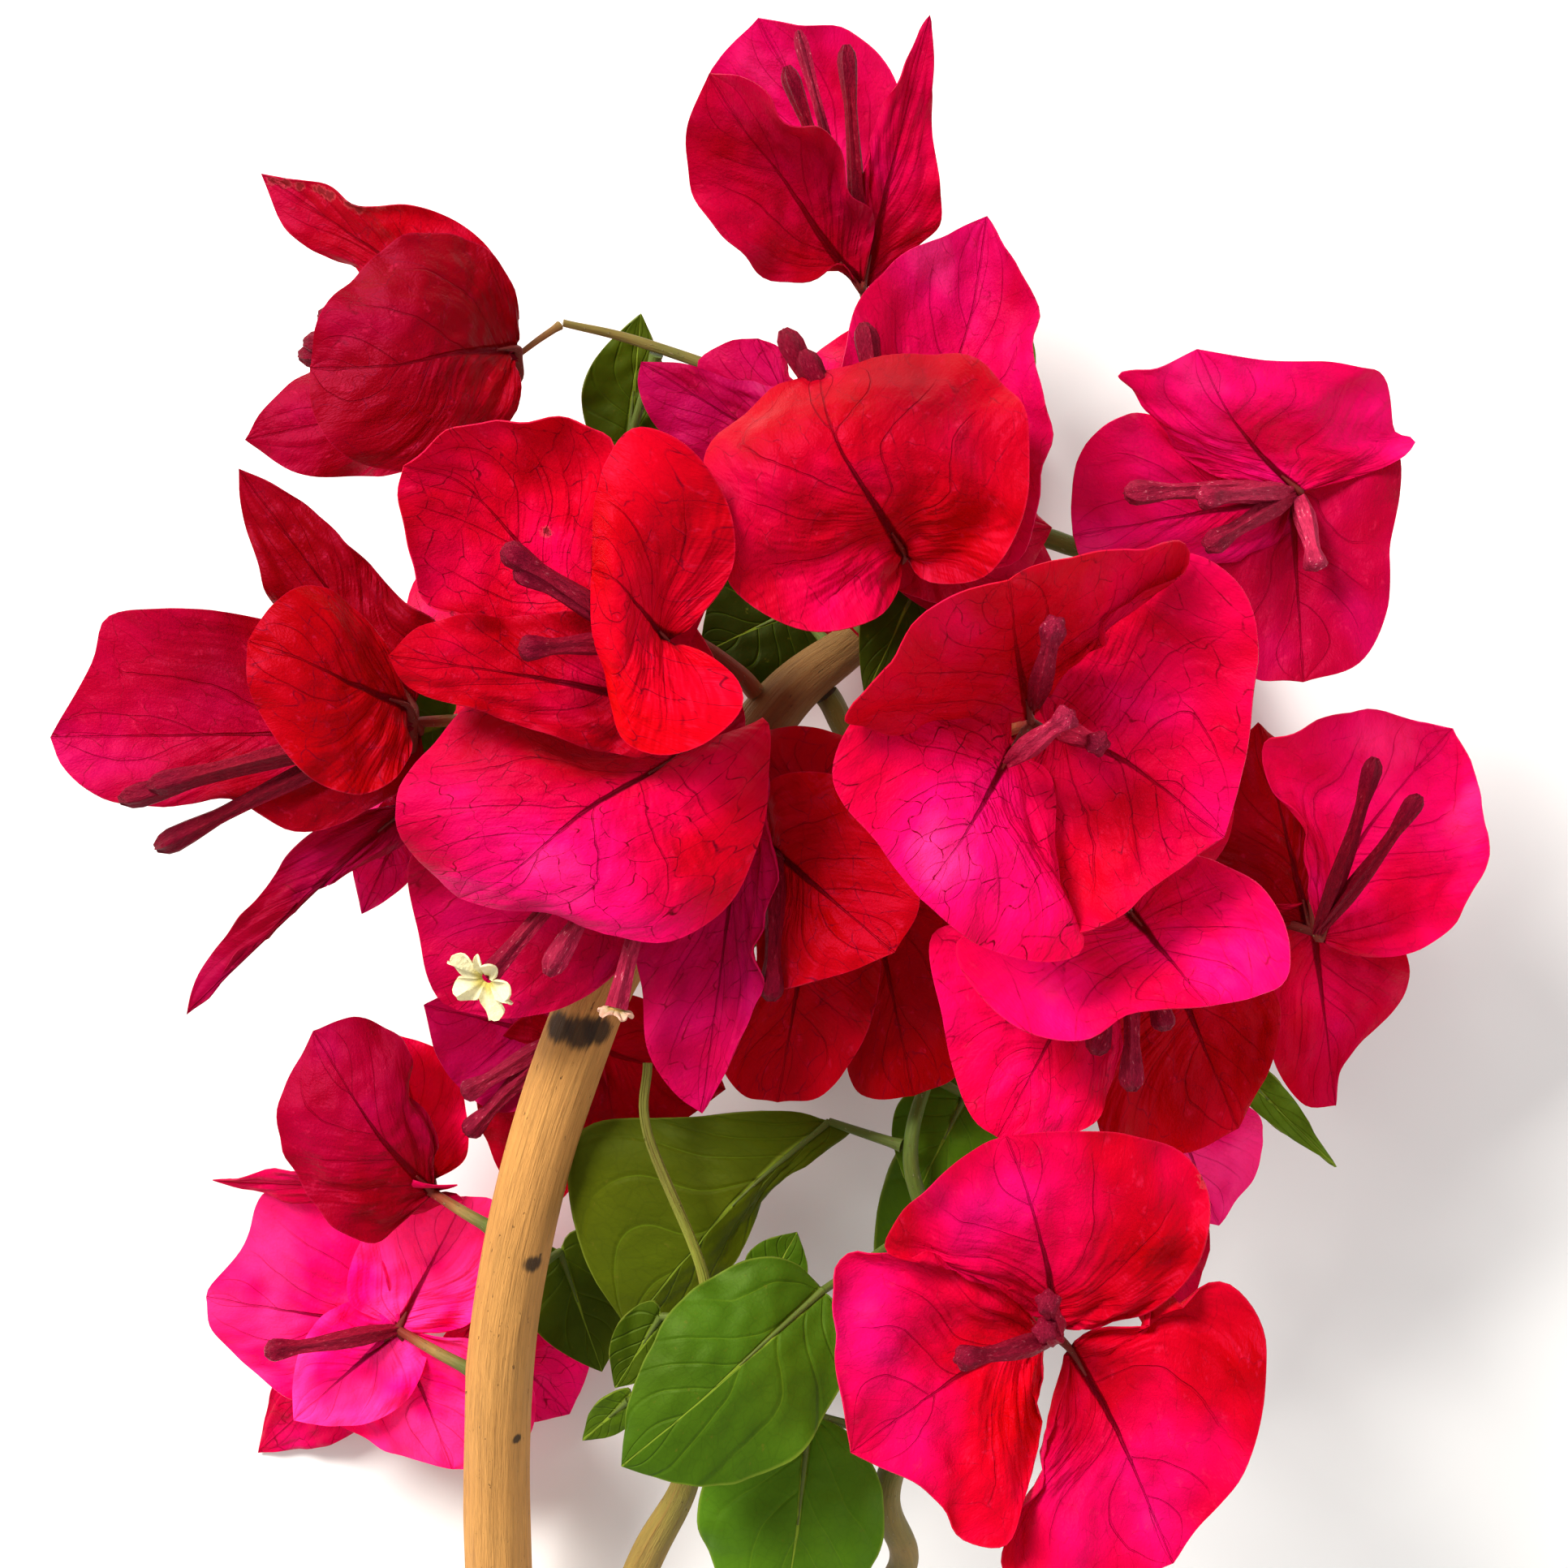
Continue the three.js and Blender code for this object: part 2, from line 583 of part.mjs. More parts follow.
const limbs = {};
for (const [name, { carrier, points, radii, material }] of Object.entries(STEMS)) {
  const places = points.map(seen);
  if (carrier) places.unshift(footOn(limbs[carrier], places[0]));
  limbs[name] = limb(places, radii);
  const isBough = material === 'bark';
  const steps = (isBough ? BOUGH_STEPS : TWIG_STEPS) * (places.length - 1);
  addNode(name, limbSolid(limbs[name], steps, isBough ? BOUGH_SIDES : TWIG_SIDES), material);
}

for (const [name, { carrier, centre, bracts, flowers }] of Object.entries(BLOOMS)) {
  const heart = seen(centre);
  const pieces = [joinSolid(heart), stalkSolid(heart, limbs[carrier])];
  for (const bract of bracts) {
    const shape = { base: centre, ...bract };
    pieces.push(bladeSolid(shape, BRACT_THICKNESS));
    if (bract.base) pieces.push(ribSolid(heart, shape));
  }
  for (const flower of flowers) pieces.push(flowerSolid(heart, flower));
  addNode(`bloom_${name}`, fuse(pieces), 'bract');
}

for (const [name, leaf] of Object.entries(LEAVES)) {
  const stalk = stalkSolid(seen(leaf.base), limbs[leaf.carrier], leaf.at);
  addNode(`leaf_${name}`, fuse([bladeSolid(leaf, LEAF_THICKNESS), stalk]), 'leaf');
}

export default group;
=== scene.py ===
"""A cut flowering branch of bougainvillea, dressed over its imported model.

Each bract and leaf is a curved sheet through its own outline, with puffed tissue between sunken
veins. Stems are swept through the same points as the solids. All places below are in millimetres,
as they look from above, and seen() turns them into the frame.
"""

import math
import random

import bpy
import numpy as np
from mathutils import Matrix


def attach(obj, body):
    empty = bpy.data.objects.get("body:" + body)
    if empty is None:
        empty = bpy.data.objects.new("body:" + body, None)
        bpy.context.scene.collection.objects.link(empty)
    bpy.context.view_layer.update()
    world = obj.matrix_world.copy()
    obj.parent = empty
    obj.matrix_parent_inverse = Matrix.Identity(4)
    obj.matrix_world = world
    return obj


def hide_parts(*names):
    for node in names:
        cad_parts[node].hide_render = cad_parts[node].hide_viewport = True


bl_info = {
    "name": "Bougainvillea branch",
    "version": (1, 0, 0),
    "blender": (4, 5, 0),
    "location": "View3D > Sidebar > Branch",
    "description": "Dresses the packed model of a cut flowering bougainvillea branch",
    "category": "Object",
}

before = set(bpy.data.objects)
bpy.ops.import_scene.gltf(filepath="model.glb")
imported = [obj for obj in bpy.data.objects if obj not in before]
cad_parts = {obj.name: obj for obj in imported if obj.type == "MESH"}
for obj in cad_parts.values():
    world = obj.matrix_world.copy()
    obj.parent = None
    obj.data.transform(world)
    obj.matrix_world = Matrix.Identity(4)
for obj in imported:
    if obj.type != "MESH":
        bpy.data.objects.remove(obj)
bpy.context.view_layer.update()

MM = 0.001
VIEW_DISTANCE = 420              # from the camera down to the middle level
MIDDLE_LEVEL = 60
ORIGIN = np.array([1.78, -31.49, 0.24])    # the branch's bottom centre
HALF_WIDTH_SEEN = 120.75         # of the view, on the middle level
SENSOR_WIDTH = 36

# Surfaces
FINE = (48, 40)                  # rows along a bract or leaf, and columns across it
PLAIN = (28, 24)                 # for those that lie underneath
EDGE_CROWDING = 1.35             # above 1, columns lie closer together towards the midrib
BASE_FAN = 1.25                  # above 1, the rows fan out from the stalk
NECK = 0.2                       # how wide a blade given by its half widths starts
HEART = 0.12                     # how far its lobes reach back behind its base
LOBE_PLACE = 0.62                # how far out from the midrib they reach furthest back
LOBE_FADE = 2.5
ROUND_SHARE = (0.24, 0.16)       # with its midrib nearer an edge than this, a blade folds along it
VEIN_RAKE = 0.4                  # how far forward a side vein has run at the edge, as a share of u
VEIN_BEND = 0.85
VEIN_SWING = (0.3, 1.3)          # how unevenly the side veins are spaced, and how often that turns
FULL_RELIEF = 34                 # length from which a blade's folds and waves have their full height
LEAF_FOLDS = 0.22                # how much of a bract's folds and puff a leaf has
LEAF_WAVE = 0.6                  # and how much of its edge waves
CRUMPLE = 0.5                    # height of the wrinkles that follow the side veins
CRUMPLE_WAVES = (2, 6)
CRUMPLE_SCALE = (4, 0.25)        # across and along the side veins
MIDRIB_DEPTH = 0.4
MIDRIB_REACH = 1.1               # how far the groove over the midrib reaches on each side
FOLD_COUNTS = (1.6, 2.6)         # the least and the most folds across a blade
WAVE_COUNTS = (2.2, 3.8)         # the same for the waves along an edge
SMALL_WAVE_COUNTS = (5, 8)
SMALL_WAVES = 0.35               # height of the small waves, as a share of the large ones
WRINKLES = (0.35, 7, 0.8)        # height, count from midrib to edge, and how far the veins carry them
EDGE_PLACES = [(0, 0.35), (0, 0.7), (0.02, 0.95), (0.15, 1), (0.35, 1), (0.6, 1), (0.82, 1)]
CURVE_STEPS = 24                 # places worked out between two points of an outline

# Unevenness, as (height, shortest and longest wave in mm)
VEIN_DRIFT = (0.32, 12, 36)
PILLOW_DRIFT = (0.5, 6, 14)
WRINKLE_DRIFT = (1, 8, 20)
EDGE_SWELL = (0.8, 9, 24)
FINE_SWELL = (0.16, 2.6, 6)
HUE_CLOUD = (1, 12, 40)
LIGHT_CLOUD = (1, 8, 25)

# Stems and twigs, from the lower end to the tip. One with a carrier starts just clear of its bark.
STEMS = {
    "main_stem": {
        "points": [(-41, -160, 6.5), (-44, -121, 20), (-42.5, -79, 42), (-31, -37, 58), (-15, -9, 57),
                   (-1, 12, 53), (11, 22, 50)],
        # its tint runs darker towards the top, partly the bark's own colour and partly painted shade
        # under the blooms
        "radii": [6.5, 5.6, 5.4, 5.4, 5, 4.4, 3.2], "tint": (0.15, 0.4),
    },
    "second_stem": {
        "carrier": "main_stem",
        "points": [(-33, -149, 11), (-22, -121, 30), (-15, -107, 42), (-12, -90, 56), (-12.5, -75.5, 60),
                   (-21, -54, 62), (-21, -43, 60)],
        "radii": [3.6, 3.4, 2.8, 2.2, 1.3, 0.9, 0.7, 0.7], "tint": (0.3, 1),
    },
    "third_stem": {
        "carrier": "second_stem",
        "points": [(-20, -142, 16), (4, -136, 20), (18, -121, 34), (16, -108, 46), (26, -82, 50),
                   (19.5, -58, 56), (24, -40, 50)],
        "radii": [2.8, 2.8, 2.6, 2.4, 2.2, 1.5, 1.2, 0.9], "tint": (0.35, 1),
    },
    "twig_top": {
        "carrier": "main_stem",
        "points": [(15, 28, 54), (18, 36, 60), (20, 52, 62), (14, 70, 57)],
        "radii": [2.2, 2.1, 1.9, 1.5, 1.1], "tint": (0.8, 0.9),
    },
    "twig_upper_left": {
        "carrier": "twig_top",
        "points": [(14, 52, 62), (0, 60, 63), (-22, 68, 64), (-34, 71, 67)],
        "radii": [1.2, 1.2, 1, 0.8, 0.55], "tint": (0.8, 0.6),
    },
    "twig_upper_right": {
        "carrier": "twig_top",
        "points": [(24, 34, 58), (38, 38, 58), (47, 36.5, 58), (60, 41, 60), (73, 45, 64)],
        "radii": [1.6, 1.6, 1.6, 1.5, 1.2, 1], "tint": (0.75, 0.95),
    },
    "twig_right": {
        "carrier": "main_stem",
        "points": [(13, 6, 48), (34, 5, 46), (58, -10, 42), (76, -21, 42)],
        "radii": [2, 2, 1.7, 1.4, 1.1], "tint": (0.7, 0.15),
    },
    "twig_left": {
        "carrier": "main_stem",
        "points": [(-20, -3, 59), (-30, 6, 62), (-46, 10, 68)],
        "radii": [1.8, 1.8, 1.5, 1.1], "tint": (0.7, 0.9),
    },
    "twig_centre": {
        "carrier": "main_stem",
        "points": [(-7, 17, 58), (-14, 22, 62), (-21, 24, 68)],
        "radii": [1.5, 1.4, 1.1, 0.9], "tint": (0.4, 0.05),
    },
}
BARK_NODES = ("main_stem", "second_stem")
WOODY = (40, 0.16)               # sides, and height of the relief in mm
GREEN = (24, 0.06)
LIMB_RINGS = {"main_stem": 300}
OTHER_RINGS = 160
CLEARANCE = 0.3                  # between a stalk and the limb that carries it
SEARCH_STEPS = 200
STALK_RADIUS = 1.1
STALK_TAPER = 0.7
STALK_TINT = (0.85, 0.15)        # from its foot to its end, as for the stems
STALK_BOW = 0.6
STALK_FOOT = (0.25, 0.08)        # how much wider its foot is, and over what share of its length
STALK_RINGS = 14
STALK_SIDES = 12
LEAF_STALK = {"radius": 0.9, "bow": 0.4, "tint": (0.9, 0.9)}
LEAF_RIB_RADII = (0.63, 0.15)
LEAF_RIB_REACH = 0.5
LEAF_RIB_RINGS = 11
LEAF_RIB_SIDES = 10
RIB_REACH = 0.2                  # how far along its midrib a bract's rib leads
RIB_TAPER = 0.25
RIB_TINT = (0.12, 0.02)
RIB_RINGS = 15
RING_SCARS = [(-38.9, -73.6, 49, 1.6), (-34.5, -37.5, 62, 2.6), (-31.5, -38.5, 64, 2.8),
              (-28.5, -38, 62.5, 2.4), (-41, -101, 36, 0.9)]    # on the main stem


def blade(base, tip, **looks):
    """A bract or leaf by its two ends, with the rest of its shape and colours by name"""
    return {"base": base, "tip": tip, **looks}


def tube(head, **looks):
    """A flower tube by its head. girth is its share of the usual width, tint is how pale it is."""
    return {"head": head, **looks}


def bloom_on(carrier, centre, bracts, flowers=(), stalk=(STALK_RADIUS, STALK_TINT), **shared):
    """A bloom, the limb that carries it, its stalk's radius and tint, and what its bracts share"""
    return {"carrier": carrier, "centre": centre, "flowers": flowers, "stalk": stalk,
            "bracts": [{**shared, **shape} for shape in bracts]}


# A bract runs from base to tip, over mid where its midrib bends. left and right are its two edges as
# seen on the way from base to tip, or half gives its half widths, with curve and roll in degrees and
# point and neck as shares. hue runs from 0, red, to 1, pink, and light dims it, each from the base to
# the tip. Both are partly the bract's own tone and partly painted light and shade, pinker and lighter
# where it is lit and redder and darker in shade. lean paints the left half lighter than the right, as
# painted light from the upper left, and each glow paints a highlight or a shade round a place as seen
# from above, as (x, y, reach, hue, light). folds deepens its folds, net strengthens its net of veins,
# scars are dry spots, as (x, y, reach) seen from above, and plain ones have fewer faces.
# A tube starts at the bloom's centre or at its foot. An open one has a star of that radius at its
# head, pale or pink, and up turns the star towards the sky.
BLOOMS = {
    "top": bloom_on("twig_top", (12, 77, 58), net=0.4, bracts=[
        blade((12, 77, 58), (-4, 118, 56), mid=[(6, 98, 48)], left=[(3, 84, 52), (-8, 98, 50),
            (-12, 108, 52)], right=[(20, 86, 54), (21, 98, 56), (17.5, 109, 58), (9.5, 115.5, 58)],
            hue=(0.7, 0.85), light=(0.55, 0.8)),
        blade((12, 76, 60), (-11.5, 109.5, 80), mid=[(6, 84, 64), (0, 93, 70), (-7, 102, 77)],
            left=[(9, 80, 64), (7, 79, 66), (-2, 78.5, 68), (-6, 80.5, 70), (-11, 86, 72),
            (-14.5, 95, 74), (-15, 101, 76)], right=[(13.5, 84, 66), (11, 92, 72), (6, 100, 78),
            (-1, 103, 82), (-6, 109, 82)], hue=(0.4, 0.55), light=0.58, folds=0.7),
        blade((12, 76, 60), (22.5, 118.5, 76), left=[(12, 90, 66), (14, 101, 70), (17.5, 109, 73)],
            right=[(20, 82, 62), (24, 86, 64), (24, 92, 66), (22.7, 102, 70), (23.2, 112, 74)],
            hue=(0.5, 0.6), light=(0.8, 0.6), folds=0.7),
    ], flowers=[tube((9.6, 113.9, 72), girth=0.78), tube((0.4, 110.6, 72), girth=0.78),
        tube((2.2, 116, 64), tint=(0.1, 0.5), girth=0.55)]),
    "upper_left": bloom_on("twig_upper_left", (-41, 66, 70), stalk=(0.6, (0.5, 0.35)), bracts=[
        blade((-41, 67, 72), (-73, 64, 84), mid=[(-50, 66.5, 82), (-60, 64.5, 86)],
            left=[(-44, 65.6, 74), (-41.2, 64, 75), (-40.4, 60.5, 76), (-42.8, 55, 77), (-50, 50.2, 80),
            (-58, 48.3, 82), (-64.5, 48.8, 84), (-69.5, 52.3, 85), (-72.5, 57.5, 85)],
            right=[(-40.5, 72, 74), (-42.5, 78, 76), (-47, 83.5, 78), (-54, 85, 80), (-61, 83, 82),
            (-67, 78, 84), (-71.5, 72, 85)], hue=(0, 0.4), light=(0.24, 0.36), net=1.1, folds=0.5,
            glow=[(-44.5, 60.5, 4.5, 0.1, 0.3), (-66, 72, 8, 0.15, 0.02)]),
        blade((-45, 70, 66), (-80.5, 94, 62), left=[(-54, 70, 62), (-62, 75, 62), (-66.5, 79.5, 63),
            (-76, 84.5, 63)], right=[(-44, 80, 66), (-48, 85, 67), (-57, 89.2, 67), (-65.5, 89.3, 66),
            (-71.5, 92, 65)], hue=(0.2, 0.4), light=(0.6, 0.42), net=0.9,
            glow=[(-57, 86.5, 4.5, -0.1, 0.25)], scars=[(-79, 93, 0.8), (-76.8, 92.6, 0.9),
            (-74.5, 92.1, 0.8), (-71.8, 91.6, 0.9), (-69.8, 90.7, 0.9), (-67, 89.4, 1),
            (-65.2, 88.6, 0.8), (-62, 89, 0.7)]),
        blade((-41, 62, 66), (-83, 53, 60), left=[(-41, 58, 66), (-44, 54.5, 66), (-52, 50.5, 64),
            (-62, 47.5, 62), (-72.5, 47.5, 60), (-78, 49.5, 60)], right=[(-50, 69, 62), (-66, 68, 60),
            (-75, 63, 60), (-80, 57.5, 60)], hue=(0.1, 0.6), light=0.35, net=0.7, folds=0.6),
    ], flowers=[tube((-71.75, 72.25, 74)), tube((-74, 68, 74)), tube((-74.75, 66, 72))]),
    "crown": bloom_on("twig_top", (18, 34.5, 92), bracts=[
        blade((18.5, 35.5, 96), (5.5, 63.5, 98), mid=[(14, 43, 105), (9, 51, 109), (6.5, 57.5, 107)],
            left=[(17.5, 29.5, 98), (12, 24.5, 101), (3, 23.7, 102), (-8.5, 31, 104), (-8.5, 42, 104),
            (-12.5, 50.5, 102), (-3, 59.5, 100)], right=[(20.5, 33.5, 96), (25, 31, 98), (31, 32, 100),
            (36, 39, 103), (37.5, 48, 104), (36, 59, 103), (31.5, 64.5, 100), (24, 65.7, 98),
            (14, 65, 98)], hue=(0.28, 0.3), light=0.78, net=0.7, folds=1.6,
            glow=[(8, 30.4, 8.8, 0.19, 0.16), (32.5, 40.9, 8.1, -0.19, 0.1), (-6, 46.8, 8.1, 0.15, 0),
            (11.8, 45.8, 6.8, 0, 0.1), (20.5, 61, 8, 0.05, -0.3)]),
        blade((21, 38, 88), (31.3, 87.5, 86), mid=[(24, 56, 84), (29, 73, 84)], left=[(14, 46, 86),
            (8.4, 64, 90), (12.4, 74.5, 90), (19.5, 82.5, 88), (25, 84.5, 87)], right=[(29, 33, 88),
            (36, 34.5, 88), (39.5, 42, 90), (41, 50, 92), (40.5, 62, 92), (38, 75, 90), (35, 82, 88)],
            hue=(0.55, 0.82), light=(0.98, 0.62), net=0.6, folds=1.3),
        blade((12, 44, 88), (-22, 65, 86), left=[(2, 45, 86), (-13, 50, 86), (-20, 55.5, 86),
            (-22.5, 61.5, 86)], right=[(10, 58, 88), (2, 61, 90), (-8, 62, 88), (-14, 64.5, 87)],
            hue=(0.7, 0.8), light=0.4),
        blade((5, 50, 84), (-4, 68.6, 80), plain=True, left=[(-8, 60, 80), (-13.5, 64.5, 79),
            (-9, 68, 80)], right=[(8, 60, 82), (1, 62.5, 82), (-0.5, 67, 81)], hue=(0.6, 0.7),
            light=0.5),
    ], flowers=[tube((-0.2, 70, 97)), tube((2.8, 66.8, 99)), tube((12.2, 71, 93))]),
    "upper_right": bloom_on("twig_upper_right", (79, 45, 70), net=0.3, bracts=[
        blade((79.5, 45, 72), (63.6, 67, 82), mid=[(74, 50, 74), (68, 58, 80)], left=[(66, 48, 76),
            (56, 57.5, 80), (51.5, 63.2, 84), (58, 64.3, 84)], right=[(90, 48, 70), (97.3, 53, 70),
            (94.5, 54, 71), (92.6, 62, 74), (90.5, 64, 75), (84, 65, 78), (74, 65.3, 80)],
            hue=(0.65, 0.8), light=0.88),
        blade((78, 44, 70), (44.5, 38.3, 76), left=[(76, 37, 69), (71, 34.5, 70), (62, 34, 71),
            (54, 34, 72), (46, 34.5, 74)], right=[(66, 51, 74), (56, 57, 77), (49, 55.5, 78),
            (45.5, 50, 78), (44.2, 43, 77)], hue=(0.6, 0.8), light=0.84),
        blade((78, 47.5, 67), (80, 15.7, 74), left=[(86, 51, 67), (94, 52, 68), (95, 45, 70),
            (93.3, 36, 71), (93, 27, 73), (88.5, 18.5, 74)], right=[(72, 45, 66), (65, 40, 66),
            (66.5, 28, 69), (70, 19.5, 72), (72.5, 16.5, 73)], hue=(0.5, 0.6), light=0.52, folds=0.7),
    ], flowers=[tube((64, 44, 86), tint=0.7), tube((52.5, 44.8, 84), tint=0.6), tube((65, 36.5, 84),
        tint=0.4), tube((82, 33, 78), tint=1)]),
    "centre_left": bloom_on("twig_centre", (-21, 22, 98), stalk=(0.85, (0.1, 0.02)), bracts=[
        blade((-27, 24, 98), (-58.6, 49, 100), mid=[(-38, 34, 94), (-50, 46.5, 96)],
            left=[(-34, 18, 98), (-47, 22, 98), (-54, 27, 98), (-58, 37, 99), (-59.3, 45, 100)],
            right=[(-22, 32, 100), (-24, 45, 104), (-26.5, 52.5, 104), (-33, 55.3, 104),
            (-39.5, 56.7, 104), (-47, 55.5, 102), (-53, 53, 101)], hue=(0.3, 0.4), light=0.84, net=1.3,
            scars=[(-36.6, 38.9, 1)], glow=[(-38.6, 39.8, 8.1, 0.22, 0.26),
            (-32.8, 50.2, 8.1, -0.08, 0.08)]),
        blade((-18, 22, 102), (-29.5, 33, 108), mid=[(-22, 27, 108), (-26, 31.5, 111)],
            left=[(-13, 20.5, 104), (-8, 17, 106), (-6.4, 12, 106), (-11, 7, 106), (-18, 4.5, 106),
            (-24.5, 6.5, 106), (-27.6, 13, 106), (-29, 22, 106)], right=[(-14.5, 24, 104),
            (-8, 33, 106), (-8, 41, 108), (-12, 49, 110), (-17, 53.5, 112), (-23, 55, 112),
            (-26.5, 52, 111), (-29, 43, 110)], hue=(0.25, 0.15), light=1.02, lean=0.14,
            glow=[(-14.1, 11.8, 9.5, -0.08, 0.12), (-14.1, 37.4, 9.5, 0, -0.16),
            (-22.9, 47.9, 9.5, -0.08, 0.08)]),
        blade((-18, 12, 100), (-61, 19.75, 104), mid=[(-36, 16, 100)], left=[(-20, 5, 98),
            (-28, 5, 100), (-45.5, 10.8, 102), (-58, 15, 103)], right=[(-24, 24, 98), (-36, 26, 98),
            (-46, 25.7, 100), (-55.7, 24.5, 102)], hue=(0.35, 0.1), light=0.66, folds=1.4,
            glow=[(-50.8, 20.8, 8.1, 0.3, 0.2)]),
    ], flowers=[tube((-43.3, 36.4, 112), tint=0.22), tube((-41.4, 33.3, 110), tint=0.25),
        tube((-40.75, 20.75, 110), tint=0.15)]),
    "left": bloom_on("twig_left", (-57, 9.5, 84), bracts=[
        blade((-57, 12, 82), (-84, 48.6, 84), left=[(-66, 14, 82), (-79, 28, 83), (-81, 34, 84),
            (-83.6, 42.6, 84)], right=[(-53, 24, 82), (-59, 28.5, 83), (-67.5, 37.4, 84),
            (-77.5, 45.6, 84)], hue=(0.1, 0.3), light=0.33),
        blade((-58, 12, 88), (-82.6, 22, 100), mid=[(-67, 15.7, 97), (-75, 19.5, 101)],
            left=[(-58, 5, 90), (-61, 0, 94), (-66, -1.5, 97), (-73, 1, 99), (-79, 8, 101),
            (-82.5, 15, 102)], right=[(-59, 17, 90), (-63, 24, 94), (-68.5, 29.5, 97),
            (-73.5, 30.5, 99), (-79, 27.5, 101)], hue=(0, 0.05), light=0.66),
        blade((-56, 8, 82), (-113, 7.2, 84), left=[(-56, 1.4, 84), (-74, -6.9, 86), (-85.7, -2.7, 86),
            (-104, -2.7, 86), (-111, 2.5, 85)], right=[(-62, 20, 80), (-80.5, 25.5, 82), (-96, 27, 84),
            (-104.6, 25.5, 84), (-106.5, 19, 84)], hue=(0, 0.75), light=(0.3, 0.58),
            glow=[(-87, 18, 7, 0, -0.14)]),
        blade((-58, -3, 80), (-92, -35.5, 78), left=[(-56, -7, 80), (-66.4, -13.4, 79),
            (-74.6, -18, 78), (-81.7, -24.6, 78), (-88, -32, 78)], right=[(-64, -4, 80), (-72, -7, 80),
            (-77, -11.6, 79), (-82, -19, 78), (-90, -28.7, 78)], hue=(0.6, 0.6), light=0.34),
        blade((-58, -4, 76), (-65, -20, 70), half=(5, 5), plain=True, hue=(0.8, 0.8), light=0.9),
    ], flowers=[tube((-98, -0.4, 92)), tube((-102.4, -2.5, 90)), tube((-96.75, -9.9, 84))]),
    "lower_left": bloom_on("main_stem", (-16, 4, 80), bracts=[
        blade((-16.4, 4, 90), (-50, -17.5, 92), mid=[(-30.7, -4.2, 99), (-43, -14.5, 98)],
            left=[(-10, 7.5, 84), (-3, 10.5, 86), (-2.6, -2, 90), (-5, -13, 92), (-9.5, -20.5, 94),
            (-18, -24, 95), (-30.7, -22.4, 96), (-42, -19.5, 94)], right=[(-22, 5.5, 88),
            (-34.5, 8, 90), (-47, 11.4, 92), (-54, 7, 94), (-58.5, 0, 95), (-59, -6, 95),
            (-57, -11.5, 94)], hue=(0.45, 0.5), light=0.84, net=1.2, lean=0.12,
            glow=[(-10.7, -1.5, 8, 0.12, 0.4), (-47.5, -15.5, 9.5, 0.34, 0.12),
            (-33.2, -16.8, 9.5, 0.34, 0.12), (-20.8, -20.5, 8.1, 0.19, 0.12),
            (-25.8, -4.5, 7.4, 0.15, 0.16), (-10.6, -9.2, 10.8, -0.22, 0),
            (-37.4, 4.8, 10.8, -0.11, -0.08)]),
        blade((-5, 7, 80), (-12.6, -50.75, 80), left=[(-2.5, -2, 84), (-2.8, -18, 84), (-3.9, -29, 83),
            (-7.6, -41.7, 81)], right=[(-14, 0, 78), (-23, -23, 79), (-22, -31.7, 79),
            (-20.7, -41.7, 80), (-16.4, -48, 80)], hue=(0.6, 0.75), light=0.64),
        blade((-21, -4, 76), (-50, -35, 74), left=[(-18, -16, 76), (-23, -26, 75), (-33.2, -34.2, 74),
            (-43.2, -36, 74)], right=[(-36, 0, 78), (-52, -5, 77), (-57.6, -12, 76), (-56.4, -23, 75),
            (-53.2, -33, 74)], hue=(0.6, 0.62), light=0.56),
    ], flowers=[tube((-45.75, -29.9, 92), star=6, pale=1, tint=0.3), tube((-36.5, -29.5, 90),
        tint=(0.1, 0.75)), tube((-25.8, -34.5, 90), star=2.8, pale=0.5, up=-0.35, tint=(0.2, 0.8))]),
    "middle": bloom_on("main_stem", (-1, -7, 74), bracts=[
        blade((-2.5, -9.5, 76), (17, -26, 84), left=[(-2, 0.5, 78), (9, 0.8, 80), (15.5, -9, 83),
            (21, -17.4, 84)], right=[(-3, -18, 76), (-3.5, -31, 78), (8, -29.5, 81)], hue=(0.08, 0.12),
            light=0.78),
        blade((4, -20, 70), (-1, -49, 66), left=[(14, -26, 72), (14.5, -32, 70), (11.7, -40.5, 68),
            (5.5, -48, 66)], right=[(-4, -27, 70), (-7, -34, 68), (-9.5, -43, 66), (-6, -48, 66)],
            hue=(0.05, 0.05), light=0.7),
        blade((13, -15, 68), (20, -48, 62), left=[(24, -16, 69), (28, -25, 68), (29, -36, 66),
            (26.5, -45, 63)], right=[(10, -24, 68), (9.5, -36, 65), (11.75, -48, 62)], hue=(0, 0),
            light=0.55),
        blade((-1, -7, 74), (11, 7, 70), half=(12, 12), point=-0.3, hue=(0.1, 0.2), light=0.6),
    ], flowers=[tube((-2, -33.5, 80))]),
    "centre_right": bloom_on("twig_right", (38, 9.5, 94), bracts=[
        blade((38, 10, 96), (34.6, 31.4, 124), mid=[(36, 20, 108)], left=[(26, 8, 100), (9.2, 10, 112),
            (16.7, 20.7, 118), (26, 29, 122)], right=[(44, 18, 100), (50.5, 23.2, 108), (63, 34.5, 112),
            (59, 36.8, 116), (46, 35.8, 120)], hue=(0.3, 0.35), light=0.9,
            glow=[(42.8, 31.4, 8.1, 0.08, 0.16), (21.8, 23.2, 8.1, 0, 0.08)]),
        blade((41, 8, 96), (67.75, -8.25, 102), mid=[(51.75, 3.9, 99)], left=[(39, 14, 98),
            (43, 21, 100), (51, 29, 104), (61.7, 35.7, 109), (70.5, 29.5, 110), (72.4, 13.2, 108),
            (70.5, 0.75, 105)], right=[(37, 0, 96), (37.5, -14, 96), (41, -23, 98), (47, -23.5, 101),
            (59, -14.2, 102)], hue=(0.48, 0.5), light=0.9, folds=1.3,
            glow=[(60.2, 15.1, 10.8, 0.08, 0.04), (68.4, -5.9, 8.1, 0.3, 0),
            (54.4, -8.2, 8.1, -0.08, -0.04), (45.5, -15.5, 10.8, -0.15, 0.12)]),
        blade((35, 5, 98), (21, -17.7, 108), mid=[(29, -6, 106)], left=[(41, 2, 98), (42, -12, 100),
